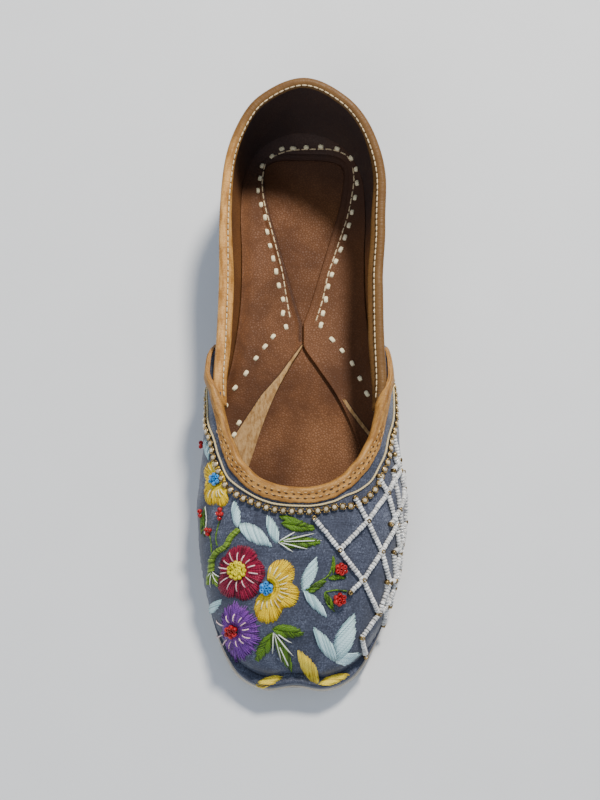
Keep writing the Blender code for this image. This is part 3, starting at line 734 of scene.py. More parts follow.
def smoothLine(points, step):  # a spline through the points, at even steps
    points = np.asarray(points, float)
    ends = np.concatenate([[2 * points[0] - points[1]], points, [2 * points[-1] - points[-2]]])
    share = np.linspace(0, 1, 12, endpoint=False)[:, None]
    line = np.concatenate([spline(*ends[k:k + 4], share) for k in range(len(points) - 1)] + [points[-1:]])
    return evenly(line, step)


def softened(line, rounds):  # its bends eased, its ends kept
    for k in range(rounds):
        line = np.concatenate([line[:1], (line[:-2] + 2 * line[1:-1] + line[2:]) / 4, line[-1:]])
    return line


# the leather bindings: metres, counts of steps, turns for collarEnd and rowsFrom, rowLength a share of its pitch
binding = {"leather": 0.0006, "collarFall": 0.0056, "throatOuter": 0.0056, "wingBand": 0.0032, "innerFall": 0.0052,
           "wingInner": 0.0009, "leftNarrower": 0.0009, "leftThicker": 0.0004, "rightThicker": 0.0008,
           "wingSeat": 0.00045, "foldStart": 0.0005, "flapSteps": 9, "capSteps": 8, "vampAlong": 520,
           "collarAlong": 420, "collarEnd": 7.42, "collarSunk": 0.0011, "turnedUnder": 0.0003, "corner": 0.0006,
           "stitchPitch": 0.0025, "stitchLength": 0.0022, "stitchWidth": 0.00032, "stitchHeight": 0.00024,
           "rows": (0.0021, 0.0041), "rowsFrom": 8.1, "holePitch": 0.0027, "rowLength": 0.62,
           "rowWidth": 0.00021, "rowHeight": 0.00014}
# how far the collar's lining band stands in from the wall, by turn, left side negative
collarFlare = np.array([
    [-7.1, 0.0020], [-6.5, 0.0021], [-6, 0.0024], [-5, 0.0024], [-4, 0.0013], [-3, 0.0005], [-2, 0.0004],
    [0, 0.0004], [2, 0.0006], [3, 0.0014], [4, 0.0022], [5, 0.0026], [6, 0.0028], [7.1, 0.0026],
])


def overRim(turn, fall, off):  # a point some way below the rim along the wall, or above it
    point = lastPoint(turn, np.ones_like(turn))
    out, up, around = lastFrame(turn, np.ones_like(turn))
    height = 1 - np.maximum(fall, 0) / ribLength(turn)
    below = lastPoint(turn, height) + lastFrame(turn, height)[0] * off[..., None]
    above = point + up * np.maximum(-fall, 0)[..., None] + out * off[..., None]
    return np.where((fall > 0)[..., None], below, above) + last["place"]


def edgePath(count):  # turn and height along the vamp's rear edge, from one side of the sole to the other
    up = [(wingTip, height) for height in (0.02, 0.20, 0.40, 0.55)]
    corner = [(throatStart, 0.975), (throatStart + 0.22, 1.0)]
    throat = [(turn, 1.0) for turn in np.arange(throatStart + 0.5, lastRib + 0.01, 0.25)]
    half = np.array(up + [tuple(row) for row in wingEdge[1:-1]] + corner + throat)
    whole = np.concatenate([half, (half * [-1, 1] + [2 * lastRib, 0])[::-1][1:]])
    fine = np.concatenate([np.linspace(whole[k], whole[k + 1], 30, endpoint=False) for k in range(len(whole) - 1)]
                          + [whole[-1:]])
    walked = walkedAlong(onLast(fine[:, 0], fine[:, 1]))
    path = spotsAt(fine, walked, np.linspace(0, walked[-1], count))
    path = softened(path, int(60 * (count / binding["vampAlong"]) ** 2))
    path[:, 1] = np.where(folded(path[:, 0])[0] > throatStart + 0.30, 1.0, path[:, 1])
    return path


def vampSpot(path, away):  # turns and heights some way into the vamp from its rear edge, and metres above the rim
    turn, height = path[:, :1], path[:, 1:]
    point = lastPoint(turn[:, 0], height[:, 0])
    normal = lastFrame(turn[:, 0], height[:, 0])[0]
    ahead = unit(np.gradient(point, axis=0))
    inward = unit(np.cross(normal, ahead))
    high, low = np.minimum(height + 0.02, 1), height - 0.02
    byTurn = ((lastPoint(turn + 0.04, height) - lastPoint(turn - 0.04, height)) / 0.08)[:, 0]
    byHeight = ((lastPoint(turn, high) - lastPoint(turn, low)) / (high - low)[..., None])[:, 0]
    a, b, c = (np.sum(p * q, axis=1) for p, q in ((byTurn, byTurn), (byTurn, byHeight), (byHeight, byHeight)))
    p, q = np.sum(inward * byTurn, axis=1), np.sum(inward * byHeight, axis=1)
    spread = a * c - b * b
    stepTurn, stepHeight = ((p * c - q * b) / spread)[:, None], ((q * a - p * b) / spread)[:, None]
    if stepHeight[len(path) // 2] > 0:
        stepTurn, stepHeight = -stepTurn, -stepHeight
    atHeight = height + stepHeight * away
    beyond = np.maximum(atHeight - 1, 0) * np.linalg.norm(byHeight, axis=1)[:, None]
    return turn + stepTurn * away, np.minimum(atHeight, 1), beyond


def intoVamp(path, away, off):  # those spots as places, some way off the base surface
    turn, height, beyond = vampSpot(path, away)
    up = lastFrame(path[:, :1], path[:, 1:])[1]
    return onLast(turn, height, off) + up * beyond[..., None]


def bindingSection(core, seat, outerFall, innerFall, under=False):
    # distance from the edge and height off the last, round a folded strip of leather and back inside it
    leather, flaps, caps, start = (binding[key] for key in ("leather", "flapSteps", "capSteps", "foldStart"))
    shape = []
    for skin in (leather, 0.0):
        top = core + seat + skin
        low = binding["turnedUnder"] if under else -last["wall"] - last["seat"] - skin
        arc = np.linspace(0, math.pi / 2 if under else math.pi, caps)
        if under:
            corner = binding["corner"] + skin
            cap = np.stack([0.0004 - (seat + skin + 0.0004) * np.sin(arc),
                            top - corner + corner * np.cos(arc)], axis=-1)
            inner = np.stack([np.full(flaps, cap[-1, 0]), np.linspace(cap[-1, 1], low, flaps + 1)[1:]], axis=-1)
        else:
            middle, reach = (top + low) / 2, (top - low) / 2
            cap = np.stack([start - (seat + skin + start) * np.sin(arc), middle + reach * np.cos(arc)], axis=-1)
            inner = np.stack([np.linspace(start, innerFall, flaps + 1)[1:], np.full(flaps, low)], axis=-1)
        outer = np.stack([np.linspace(outerFall, 0.0004, flaps + 1)[:-1], np.full(flaps, top)], axis=-1)
        shape.append(np.concatenate([outer, cap, inner]))
    skin, lining = shape
    skin[0] += [-0.00018, -0.00015]
    bulge = [0.0, 0.0] if under else [0.0002, 0.0]
    ring = np.concatenate([skin, [(skin[-1] + lining[-1]) / 2 + bulge], lining[::-1],
                           [(skin[0] + lining[0]) / 2 + [0.00022, 0.0]]])
    return np.concatenate([ring, ring[:1]])


def chartAlong(bm, walk, section):  # UVs in metres, along the strip and across it
    chart = bm.loops.layers.uv.active
    length, girth = walkedAlong(walk), walkedAlong(section)
    along, across = np.linspace(0, 1, len(length)), np.arange(len(girth))
    for face in bm.faces:
        for loop in face.loops:
            u, v = loop[chart].uv
            loop[chart].uv = (np.interp(v, along, length), np.interp(u * across[-1], across, girth))


def closeEnds(bm):  # a strip's open ends filled
    rims = [edge for edge in bm.edges if len(edge.link_faces) == 1]
    bmesh.ops.holes_fill(bm, edges=rims, sides=0)
    bmesh.ops.recalc_face_normals(bm, faces=bm.faces)


def collarSunk(turn):  # the collar dives under the wings' tips
    return binding["collarSunk"] * smoothStep(throatStart - 0.25, throatStart + 0.25, np.abs(turn))


def makeCollarBinding():
    section = bindingSection(0.0, last["seat"], binding["collarFall"], binding["collarFall"])
    count, along = len(section) - 1, binding["collarAlong"]
    first, final, start = -binding["collarEnd"], binding["collarEnd"], binding["foldStart"]

    def place(u, v):
        index = np.rint(u * count).astype(int)
        turn = first + (final - first) * v
        fall, off = section[index, 0], section[index, 1]
        wave = 0.00012 * (np.sin(turn * 9) + np.sin(turn * 23 + 1.3)) * (fall > 0.003)
        share = np.clip((fall - start) / (binding["collarFall"] - start), 0, 1)
        tucked = 0.78 * smoothStep(3.2, 1.6, np.abs(turn)) * (off < -last["wall"]) * (fall > start)
        fall = fall - (fall - start) * tucked
        hump = np.sin(math.pi / 2 * np.clip(share / 0.5, 0, 1)) * (1 - 0.85 * smoothStep(0.55, 1.0, share))
        flare = np.interp(turn, collarFlare[:, 0], collarFlare[:, 1]) * hump * (off < -last["wall"] - 0.0006)
        return overRim(turn, fall + wave + collarSunk(turn), off - flare - collarSunk(turn) * 0.4)

    bm = sheetGrid(count, along, place)
    chartAlong(bm, onLast(np.linspace(first, final, along + 1), 1.0), section)
    closeEnds(bm)
    settle("collarBinding", bm, ["collar"], ["collar_binding"])


def makeVampBinding():
    # one strip from the sole up the wing's edge, over the rim and round the throat to the other side
    along, start = binding["vampAlong"], binding["foldStart"]
    path = edgePath(along + 1)
    oneSide, side = folded(path[:, 0])
    throat = bindingSection(last["vampLayer"], last["seat"], 1.0, 1.0)
    pared = (last["wall"] - wallAt(path[:, 0], np.ones(along + 1)))[:, None]
    wing = bindingSection(last["vampLayer"], binding["wingSeat"], 1.0, 1.0, True)
    count = len(throat) - 1
    share = np.clip((oneSide - throatStart + 0.20) / 0.62, 0, 1)[:, None]
    wider = binding["throatOuter"] - binding["wingBand"]
    outerFall = binding["wingBand"] + wider * smoothStep(7.4, 9.6, oneSide)
    narrower = (side < 0) * smoothStep(6.6, 7.2, oneSide) * smoothStep(9.8, 8.2, oneSide)
    outerFall = outerFall - binding["leftNarrower"] * narrower
    deeper = binding["innerFall"] - binding["wingInner"]
    innerFall = binding["wingInner"] + deeper * smoothStep(throatStart + 0.30, throatStart + 0.80, oneSide)
    thicker = np.where(side < 0, binding["leftThicker"], binding["rightThicker"])
    thicker = thicker * smoothStep(throatStart + 1.4, throatStart + 0.3, oneSide)

    def fitted(section):  # the flaps' lengths change along the strip
        fall = np.broadcast_to(section[:, 0], (along + 1, count + 1)).copy()
        off = np.broadcast_to(section[:, 1], fall.shape).copy()
        flaps = fall > 0.00055
        outer = flaps & (off > 0)
        inner = flaps & (off <= 0)
        longer = lambda reach: start + (fall - start) * ((reach - start) / (1 - start))[:, None]
        return np.where(outer, longer(outerFall), np.where(inner, longer(innerFall), fall)), off

    throatFall, throatOff = fitted(throat)
    wingFall, wingOff = fitted(wing)
    throatOff = np.where(throatOff < -0.0015, throatOff - thicker[:, None], throatOff)
    throatOff = throatOff + pared * np.clip((last["vampLayer"] - throatOff) / 0.004, 0, 1)
    ripple = 0.0001 * np.sin(np.arange(along + 1) * 0.31) + 0.00008 * np.sin(np.arange(along + 1) * 0.83)
    turn = np.broadcast_to(path[:, :1], throatFall.shape)
    rimPlace = overRim(turn, throatFall, throatOff)
    outerPlace = intoVamp(path, throatFall + ripple[:, None] * (throatFall > 0.004), throatOff)
    throatPlace = np.where(((throatOff > 0) & (throatFall > 0.0004))[..., None], outerPlace, rimPlace)
    wingPlace = intoVamp(path, wingFall, wingOff)
    places = wingPlace + (throatPlace - wingPlace) * share[..., None]
    lift = wingLift(path[:, 0], np.minimum(path[:, 1], edgeHeight(path[:, 0])))
    places = places + (lastFrame(path[:, 0], path[:, 1])[0] * lift[:, None])[:, None]

    def place(u, v):
        return places[np.rint(v * along).astype(int), np.rint(u * count).astype(int)]

    bm = sheetGrid(count, along, place)
    charted = throat.copy()  # with flaps of about their real length
    charted[:, 0] = np.where(throat[:, 0] > 0.0006, start + (throat[:, 0] - start) * 0.0063, throat[:, 0])
    chartAlong(bm, onLast(path[:, 0], path[:, 1]), charted)
    closeEnds(bm)
    settle("vampBinding", bm, ["throat"],
           ["throat_binding", "wing_binding_left", "wing_binding_right"])
    return path


def taper(steps, ends=0.35):  # a thread's width along it
    share = np.linspace(0, 1, steps)
    return ends + (1 - ends) * np.minimum(1, 2.6 * np.sin(math.pi * share) ** 0.8)


def runningStitches(name, line, normals, length, pitch, width, height, slots, dip=0.0002):
    # separate stitches along a line of places, sunk at both ends
    walked = walkedAlong(line)
    starts = np.arange(pitch * 0.5, walked[-1] - length, pitch)
    starts = starts + dice.normal(0, pitch * 0.02, len(starts))
    at = starts[:, None] + np.linspace(0, 1, 6) * length
    path, face = spotsAt(line, walked, at), unit(spotsAt(normals, walked, at))
    rise = -dip + (dip + height * 0.8) * np.sin(math.pi * np.linspace(0, 1, 6)) ** 0.5
    return tubes(name, path + face * rise[:, None], face, width * taper(6), height * taper(6), slots)


def makeBindingStitches(vampPath):
    turn = np.linspace(-throatStart - 0.30, throatStart + 0.30, 900)
    line = overRim(turn, collarSunk(turn) - 0.00042, -0.00272 - collarSunk(turn) * 0.4)
    out, up, around = lastFrame(turn, np.ones_like(turn))
    runningStitches("collarStitches", line, unit(up - out * 0.9), binding["stitchLength"], binding["stitchPitch"],
                    binding["stitchWidth"], binding["stitchHeight"], ["fineCream"], -0.00005)
    path = vampPath[folded(vampPath[:, 0])[0] > binding["rowsFrom"]]
    above = last["vampLayer"] + last["seat"] + binding["leather"]
    for number, row in enumerate(binding["rows"]):
        away = np.full((len(path), 1), binding["throatOuter"] - row)
        line = intoVamp(path, away, np.full_like(away, above))[:, 0]
        lower = intoVamp(path, away, np.zeros_like(away))[:, 0]
        runningStitches("throatStitches" + str(number), line, unit(line - lower),
                        binding["holePitch"] * binding["rowLength"], binding["holePitch"],
                        binding["rowWidth"], binding["rowHeight"], ["tanThread"])


makeCollarBinding()
makeBindingStitches(makeVampBinding())
print("bindings folded")

# the cord and the stone chain round the throat, in metres
trim = {"cordAway": 0.0068, "cordRadius": 0.00040, "chainAway": 0.0091, "sideGain": 0.0014, "leftNearer": 0.0013,
        "stonePitch": 0.00335, "stone": 0.0020, "stoneDepth": 0.00065, "stoneUp": 0.00125, "cup": 0.0029,
        "cupDepth": 0.0011, "claw": 0.00034, "clawUp": 0.0010, "link": (0.0012, 0.0005, 0.0005), "linkUp": 0.0004}


def besideThroat(away, off):  # a line at one distance from the vamp's rear edge, with its normals
    path = edgePath(binding["vampAlong"] + 1)
    edge = onLast(path[:, 0], path[:, 1])
    oneSide, side = folded(path[:, 0])
    nearer = (side < 0) * smoothStep(7.4, 8.6, oneSide) * smoothStep(12, 10, oneSide)
    away = away + trim["sideGain"] * smoothStep(13, 9, oneSide) - trim["leftNearer"] * nearer
    turn, height, beyond = vampSpot(path, away[:, None])
    spots = np.concatenate([turn, height], axis=1)
    apart = np.linalg.norm(onLast(turn[:, 0], height[:, 0])[:, None] - edge[None], axis=-1).min(axis=1)
    spots = spots[(apart > away * 0.93) & (height[:, 0] > 0.02)]
    lengths = np.array([1 / 0.021, 1 / 0.045])  # one turn and one height are about this many metres
    spots = softened(evenly(spots / lengths, 0.0010), 60)
    spots = evenly(spots, 0.0005) * lengths
    turn, height = spots[:, 0], spots[:, 1]
    skin = last["vampLayer"] + softRelief(turn, height)
    return onLast(turn, height, skin + off), lastFrame(turn, height)[0]


def makeTrim():
    line, face = besideThroat(trim["cordAway"], trim["cordRadius"] * 0.8)
    tubes("gildedCord", line[None], face[None], trim["cordRadius"], trim["cordRadius"], ["cord"], 8)
    line, face = besideThroat(trim["chainAway"], 0.0)
    walked = walkedAlong(line)
    at = np.arange(trim["stonePitch"], walked[-1] - trim["stonePitch"] / 2, trim["stonePitch"])
    centre = spotsAt(line, walked, at)
    frames = squareTo(spotsAt(face, walked, at), unit(np.gradient(centre, axis=0)))

    cup = bmesh.new()
    bmesh.ops.create_cone(cup, cap_ends=True, segments=12, radius1=trim["cup"] * 0.40, radius2=trim["cup"] / 2,
                          depth=trim["cupDepth"], matrix=Matrix.Translation((0, 0, trim["cupDepth"] / 2)))
    for corner in range(4):
        turned = Matrix.Rotation(math.pi / 4 + corner * math.pi / 2, 4, "Z")
        claw = turned @ Matrix.Translation((trim["cup"] * 0.46, 0, trim["clawUp"]))
        bmesh.ops.create_uvsphere(cup, u_segments=5, v_segments=4, radius=trim["claw"], matrix=claw)
    link = Matrix.Translation((trim["stonePitch"] / 2, 0, trim["linkUp"]))
    bmesh.ops.create_cube(cup, size=1, matrix=link @ Matrix.Diagonal((*trim["link"], 1)))
    stamped("stoneCups", cup, centre, frames, ["brass"])

    stone = bmesh.new()
    bmesh.ops.create_cone(stone, cap_ends=True, segments=8, radius1=trim["stone"] / 2,
                          radius2=trim["stone"] * 0.26, depth=trim["stoneDepth"],
                          matrix=Matrix.Translation((0, 0, trim["stoneUp"])))
    stamped("clearStones", stone, centre, frames, ["stone"], False)


makeTrim()
print("trim laid")

# the sole, the sock board and the sock's top leather, in metres
sole = {"edgeRound": 0.0007, "sockThickness": 0.0020, "sockRound": 0.0005, "flapThickness": 0.0012, "slit": 0.0003,
        "cove": 0.0030, "coveReach": 0.0042, "underWall": 0.0016, "curl": 0.0003, "ridge": 0.00022,
        "seam": 0.00026, "skived": 0.00045}
# the flaps' inner edge: turn, share of the length, left and right shares of the half width
flapEdge = np.array([
    [0.0, 0.066, 0.000, 0.000], [0.7, 0.068, 0.250, 0.270], [1.3, 0.082, 0.385, 0.400], [2.0, 0.113, 0.395, 0.405],
    [2.8, 0.160, 0.350, 0.365], [3.6, 0.220, 0.255, 0.270], [4.4, 0.285, 0.150, 0.165], [5.0, 0.345, 0.055, 0.065],
    [5.5, 0.380, 0.000, 0.000], [6.0, 0.415, 0.000, 0.000], [6.6, 0.455, 0.125, 0.140], [7.3, 0.505, 0.270, 0.330],
    [8.0, 0.565, 0.400, 0.490], [8.8, 0.635, 0.520, 0.620], [9.6, 0.700, 0.640, 0.710],
])


def planAt(turn, inset):  # the outline drawn in, closed at the heel and the toe
    oneSide, side = folded(turn)
    point = footPlan(turn) - outlineOut(turn) * np.asarray(inset)[..., None]
    ended = (oneSide < 1e-6) | (oneSide > lastRib - 1e-6)
    point[..., 0] = np.where(ended, 0, point[..., 0])
    return point


def onPlan(point, z):  # plan places with heights above the sole's underside, in the part's frame
    full = np.stack([point[..., 0] + sway(point[..., 1]), point[..., 1], z], axis=-1)
    return full + last["place"]


def makeSlab(name, insetAt, low, high, rounding, slots, replaced, relief=None, columns=26, along=240):
    # a leather in the foot's outline, between two heights above the sole's underside, with a rounded edge
    shares = np.linspace(0, 1, columns)
    arc = np.linspace(0, math.pi, 8)[1:-1]
    share = np.concatenate([shares, np.ones(len(arc)), shares[::-1]])
    level = np.concatenate([np.zeros(columns), (1 - np.cos(arc)) / 2, np.ones(columns)])
    pull = np.concatenate([shares**12, 1 - np.sin(arc), (shares**12)[::-1]])
    count = len(share) - 1
    ends = np.array([0.0, lastRib])
    heelEnd, toeEnd = planAt(ends, insetAt(ends))[:, 1]

    def place(u, v):
        index = np.rint(u * count).astype(int)
        turn, across = v * 2 * lastRib, share[index]
        oneSide, side = folded(turn)
        middle = ribAt(oneSide)[2]
        middle = (middle - ribTable[0, 2]) / (ribTable[-1, 2] - ribTable[0, 2])
        middle = heelEnd + (toeEnd - heelEnd) * middle
        edge = planAt(turn, insetAt(oneSide) + rounding * pull[index])
        point = np.stack([edge[..., 0] * across, edge[..., 1] * across**2 + middle * (1 - across**2)], axis=-1)
        z = soleRise(point[..., 0], point[..., 1]) + low + (high - low) * level[index]
        if relief is not None:
            z = z + relief(point, across) * (level[index] > 0.5)
        return onPlan(point, z)

    bm = sheetGrid(count, along, place)
    bmesh.ops.recalc_face_normals(bm, faces=bm.faces)
    return settle(name, bm, slots, replaced)


def sockInset(oneSide):  # the sock stops at the wall's inner side
    return last["wall"] + 2 * last["seat"] + ribAt(oneSide)[12] * last["toeLip"]


def sockRelief(point, across):  # trodden hollows, and a raised edge in the forefoot
    x, y = point[..., 0], point[..., 1]
    soft = np.sin(x * 260 + y * 90) * np.sin(y * 170 - x * 60 + 1.2)
    return 0.00012 * soft + 0.0014 * smoothStep(0.86, 1.0, across) * smoothStep(0.02, -0.02, y)


def flapAt(turn):  # the flaps' inner edge between two rows
    index = np.clip(np.searchsorted(flapEdge[:, 0], turn, "right") - 1, 0, len(flapEdge) - 2)
    rows = [flapEdge[np.clip(index + step, 0, len(flapEdge) - 1)] for step in (-1, 0, 1, 2)]
    share = (turn - rows[1][:, 0]) / (rows[2][:, 0] - rows[1][:, 0])
    return spline(*rows, share[:, None])


sockLines = {  # millimetres in the part's frame
    "brownLeft": [(-0.4, 22.0), (-3.6, 17.5), (-9.9, 8.2), (-17.4, -0.8), (-23.0, -9.7), (-28.3, -18.5),
                  (-33, -30)],
    "rawRight": [(17.0, -1.8), (17.8, -3.2), (20.7, -7.5), (25, -13.2), (28.4, -17.5), (31, -24)],
    "threadLeft": [(-17, 108.3), (-18.6, 104.5), (-19.3, 96.1), (-17.9, 86.6), (-15.4, 77.2), (-12.2, 65.4),
                   (-9.4, 53.8), (-7.5, 42.2), (-6, 34)],
    "threadTop": [(-17, 108.3), (-11.7, 111.8), (-5.9, 113.4), (1.6, 114), (10.5, 113.7), (17.1, 110.9),
                  (20.3, 106.5)],
    "threadRight": [(20.3, 106.5), (21.2, 99.3), (20.4, 92), (18.6, 82.4), (16.5, 75.2), (14.3, 68.1), (12.2, 61),
                    (10.1, 54.1), (8, 43.3), (5.9, 35.5), (4.3, 30.1)],
}
sockStitches = {  # their middles, in millimetres too
    "left": [(-21.1, 93.7), (-19.6, 87), (-17.7, 80.9), (-16.7, 74.2), (-15.3, 67.6), (-13.8, 61.6),
             (-12.4, 55.6), (-11.1, 49.1), (-9.2, 42.7), (-9.1, 36.3), (-7.7, 29.9)],
    "right": [(21.7, 90.6), (20.4, 83.8), (19.1, 77.7), (17.4, 72), (15.6, 66.3), (13.5, 60.7), (11.8, 54.5),
              (10.2, 49), (9.3, 43), (8.1, 36.5), (7.3, 31)],
    "top": [(-20.3, 99.5), (-19.5, 105.4), (-15.2, 110.3), (-10.9, 113.8), (-5.9, 114.3), (-0.1, 114.9),
            (6.4, 115.1), (13.6, 113.7), (19.9, 108.9), (22, 103.6), (22.5, 97.3)],
    "frontLeft": [(-13.1, 25.3), (-16.5, 20.6), (-20.2, 15.2), (-24.3, 8.4), (-28.8, 1.7), (-32.4, -6.3)],
    "frontRight": [(12.1, 24.3), (16.4, 19.3), (20.7, 13.6), (24, 6.9), (27, 0.3), (30.8, -7.1)],
    "bandLeft": [(-26.8, -13.2), (-28.7, -18.4)],
}


def sideOfLine(points, line):  # signed distance from a polyline, positive on its right
    points, line = points[:, None], np.asarray(line)
    a, b = line[:-1], line[1:]
    along = np.clip(np.sum((points - a) * (b - a), axis=-1) / np.sum((b - a) ** 2, axis=-1), 0, 1)
    away = points - (a + (b - a) * along[..., None])
    nearest = np.argmin(np.linalg.norm(away, axis=-1), axis=1)
    rows = np.arange(len(points))
    chosen, step = away[rows, nearest], (b - a)[nearest]
    return np.sign(chosen[:, 0] * step[:, 1] - chosen[:, 1] * step[:, 0]) * np.linalg.norm(chosen, axis=-1)


def makeFlaps():  # the sock's top leather: two flaps joined round the heel
    columns, along = 44, 400
    shares = np.linspace(0, 1, columns) ** 1.15
    arc = np.linspace(0, math.pi, 6)[1:-1]
    share = np.concatenate([shares, np.ones(3), shares[::-1], np.zeros(len(arc))])
    level = np.concatenate([np.ones(columns), [0.75, 0.5, 0.25], np.zeros(columns), (1 - np.cos(arc)) / 2])
    tuck = np.concatenate([(1 - shares) ** 30, np.zeros(3), ((1 - shares) ** 30)[::-1], 1 - np.sin(arc)])
    share, level, tuck = (np.append(values, values[0]) for values in (share, level, tuck))
    count = len(share) - 1
    floorZ = last["soleThickness"] + 2 * last["seat"] + sole["sockThickness"]

    def innerEdge(v):  # turn, side, half the slit and the inner edge, from the left round the heel
        turn = np.abs(2 * v - 1) * flapEdge[-1, 0]
        side = np.where(v < 0.5, -1.0, 1.0)
        edge = flapAt(turn)
        slit = sole["slit"] / 2 * smoothStep(0.0, 1.0, turn)
        innerX = np.maximum(np.where(side < 0, edge[:, 2], edge[:, 3]) * last["ballWidth"] / 2, slit)
        return turn, side, slit, np.stack([side * innerX, last["length"] * (0.5 - edge[:, 1])], axis=-1)

    def place(u, v):
        index = np.rint(u * count).astype(int)
        turn, side, slit, inner = innerEdge(v)
        outer = planAt(turn, sockInset(turn) - sole["underWall"])
        outer[:, 0] = side * np.maximum(outer[:, 0], slit)
        width = np.linalg.norm(outer - inner, axis=-1)
        across = share[index] + tuck[index] * 0.0003 / np.maximum(width, 0.001)
        point = inner + (outer - inner) * across[:, None]
        fromWall, fromEdge = (1 - across) * width, across * width
        cove = sole["cove"] * np.exp(-((fromWall / sole["coveReach"]) ** 1.5)) * smoothStep(0.0, 0.006, width)
        front = smoothStep(0.040, 0.015, point[:, 1]) * smoothStep(-0.03, 0.0, point[:, 1])
        curl = sole["curl"] * np.exp(-fromEdge / 0.003) * front
        ridge = sole["ridge"] * np.exp(-(((fromEdge - 0.0012) / 0.0013) ** 2))
        seam = sole["seam"] * np.exp(-(((fromEdge - 0.0031) / 0.0005) ** 2))
        seam = seam * smoothStep(0.028, 0.034, point[:, 1])
        raw = -sideOfLine((point + last["place"][:2]) * 1000, sockLines["brownLeft"])
        lower = sole["skived"] * smoothStep(-0.1, 0.3, raw) * (side < 0) * (point[:, 1] < 0.024)
        relief = (cove + curl + ridge - seam - lower) * (level[index] > 0.6)
        z = soleRise(point[:, 0], point[:, 1]) + floorZ + sole["flapThickness"] * level[index]
        return onPlan(point, z + relief)

    bm = sheetGrid(count, along, place)
    closeEnds(bm)
    piece = settle("sockFlaps", bm, ["flap"], ["sock_flap_left", "sock_flap_right"])
    spots = np.empty(len(piece.data.vertices) * 3)
    piece.data.vertices.foreach_get("co", spots)
    spots = spots.reshape(-1, 3)[:, :2] / mm
    leftRaw = np.where(spots[:, 1] > 23, -5.0, -sideOfLine(spots, sockLines["brownLeft"]))
    rightRaw = np.where(spots[:, 1] < -2.0, 0.7 - np.abs(sideOfLine(spots, sockLines["rawRight"])), -5.0)
    inner = (innerEdge(np.linspace(0, 1, 121))[3] + last["place"][:2]) * 1000
    # painted shade: the flaps' cut inner edges get a thin dark line from the flap finish
    cutEdgeShade = np.where(spots[:, 1] > 23, -0.13 - np.abs(sideOfLine(spots, inner)) * 0.4, -5.0)
    raw = np.maximum(np.where(spots[:, 0] < 0, leftRaw, rightRaw), cutEdgeShade)
    piece.data.attributes.new("raw", "FLOAT", "POINT").data.foreach_set("value", raw)
    return piece


makeSlab("outsoleSlab", lambda oneSide: np.full_like(oneSide, -last["soleMargin"]), 0.0,
                        last["soleThickness"], sole["edgeRound"], ["sole"], ["outsole"])
sockPiece = makeSlab("sockBoard", sockInset, last["soleThickness"] + last["seat"],
                     last["soleThickness"] + last["seat"] + sole["sockThickness"], sole["sockRound"], ["sock"],
                     ["insole"], sockRelief, 40, 300)
sockTree = treeOf(sockPiece, makeFlaps())


def dropped(points):  # places and normals on the sock, straight below plan points in millimetres
    places, faces = [], []
    for x, y in np.asarray(points) * mm:
        hit = sockTree.ray_cast(Vector((x, y, 0.05)), Vector((0, 0, -1)))
        if hit[0] is None:
            hit = sockTree.find_nearest(Vector((x, y, 0.009)))
        places.append(hit[0])
        faces.append(hit[1])
    return np.array(places), unit(np.array(faces))


# half and sideHalf are half a stitch in millimetres, the rest is in metres
sockWork = {"sideHalf": 1.35, "half": 1.3, "width": 0.00088, "height": 0.00034, "threadLength": 0.0034,
            "threadPitch": 0.00355, "threadWidth": 0.00032, "threadHeight": 0.00024}


def makeSockStitches():
    paths, faces = [], []
    for name, spots in sockStitches.items():
        spots = np.array(spots)
        ahead = unit(np.gradient(spots, axis=0))
        half = sockWork["sideHalf"] if name in ("left", "right") else sockWork["half"]
        turned = dice.normal(0, 0.10, len(spots))
        ahead = np.stack([ahead[:, 0] * np.cos(turned) - ahead[:, 1] * np.sin(turned),
                          ahead[:, 0] * np.sin(turned) + ahead[:, 1] * np.cos(turned)], axis=-1)
        for spot, way in zip(spots, ahead):
            reach = half * dice.uniform(0.9, 1.15)
            place, face = dropped([spot + way * reach * k for k in (-1, -0.6, 0, 0.6, 1)])
            rise = np.array([-0.0002, 0.00018, 0.00034, 0.00018, -0.0002])
            paths.append(place + face * rise[:, None])
            faces.append(face)
    tubes("sockStitches", paths, faces, np.array([0.8, 1.0, 1.05, 1.0, 0.8]) * sockWork["width"],
          np.array([0.5, 1.0, 1.0, 1.0, 0.5]) * sockWork["height"], ["cream"], 8)
    for name in ("threadLeft", "threadTop", "threadRight"):
        line, face = dropped(smoothLine(sockLines[name], 0.4))
        runningStitches(name, line, softened(face, 6), sockWork["threadLength"], sockWork["threadPitch"],
                        sockWork["threadWidth"], sockWork["threadHeight"], ["fineCream"])


makeSockStitches()
print("sole and sock laid")

# the bead lattice in metres, its lifts as shares of a bead's width, and its strands in the photo's pixels
lattice = {"pitch": 0.00128, "width": 0.0021, "thick": 0.00122, "knot": 0.0021,
           "vampLift": 0.46, "flankLift": 0.34}
latticePixels = [
    [(314, 518), (339, 550), (362, 580), (377, 613), (360, 637), (365, 658)],
    [(354, 498), (366.5, 521), (380, 551.5), (388, 582), (377, 613)],
    [(377, 476.5), (386, 493), (395, 525), (397.5, 553), (393, 580), (388, 582)],
    [(392, 455), (398, 471), (386, 493)],
    [(386, 493), (366.5, 521), (339, 550)],
    [(395, 525), (380, 551.5), (362, 580), (349, 592.5)],
]
# the strands run on down the right flank, out of sight in the photo: turns and heights on the last
latticeFlank = [
    [(8.78, 0.59), (9.35, 0.40), (9.80, 0.20), (10.2, 0.03)],
    [(9.90, 0.52), (9.35, 0.40), (8.75, 0.26), (8.25, 0.10)],
    [(8.78, 0.59), (8.30, 0.44), (7.80, 0.60)],
    [(8.30, 0.44), (8.75, 0.26), (9.25, 0.04)],
    [(10.20, 0.36), (9.80, 0.20), (9.25, 0.04)],
    [(10.20, 0.36), (10.65, 0.15), (10.95, 0.02)],
    [(11.57, 0.31), (11.15, 0.20), (10.65, 0.15), (10.2, 0.03)],
    [(10.89, 0.36), (11.15, 0.20), (11.4, 0.03)],
]


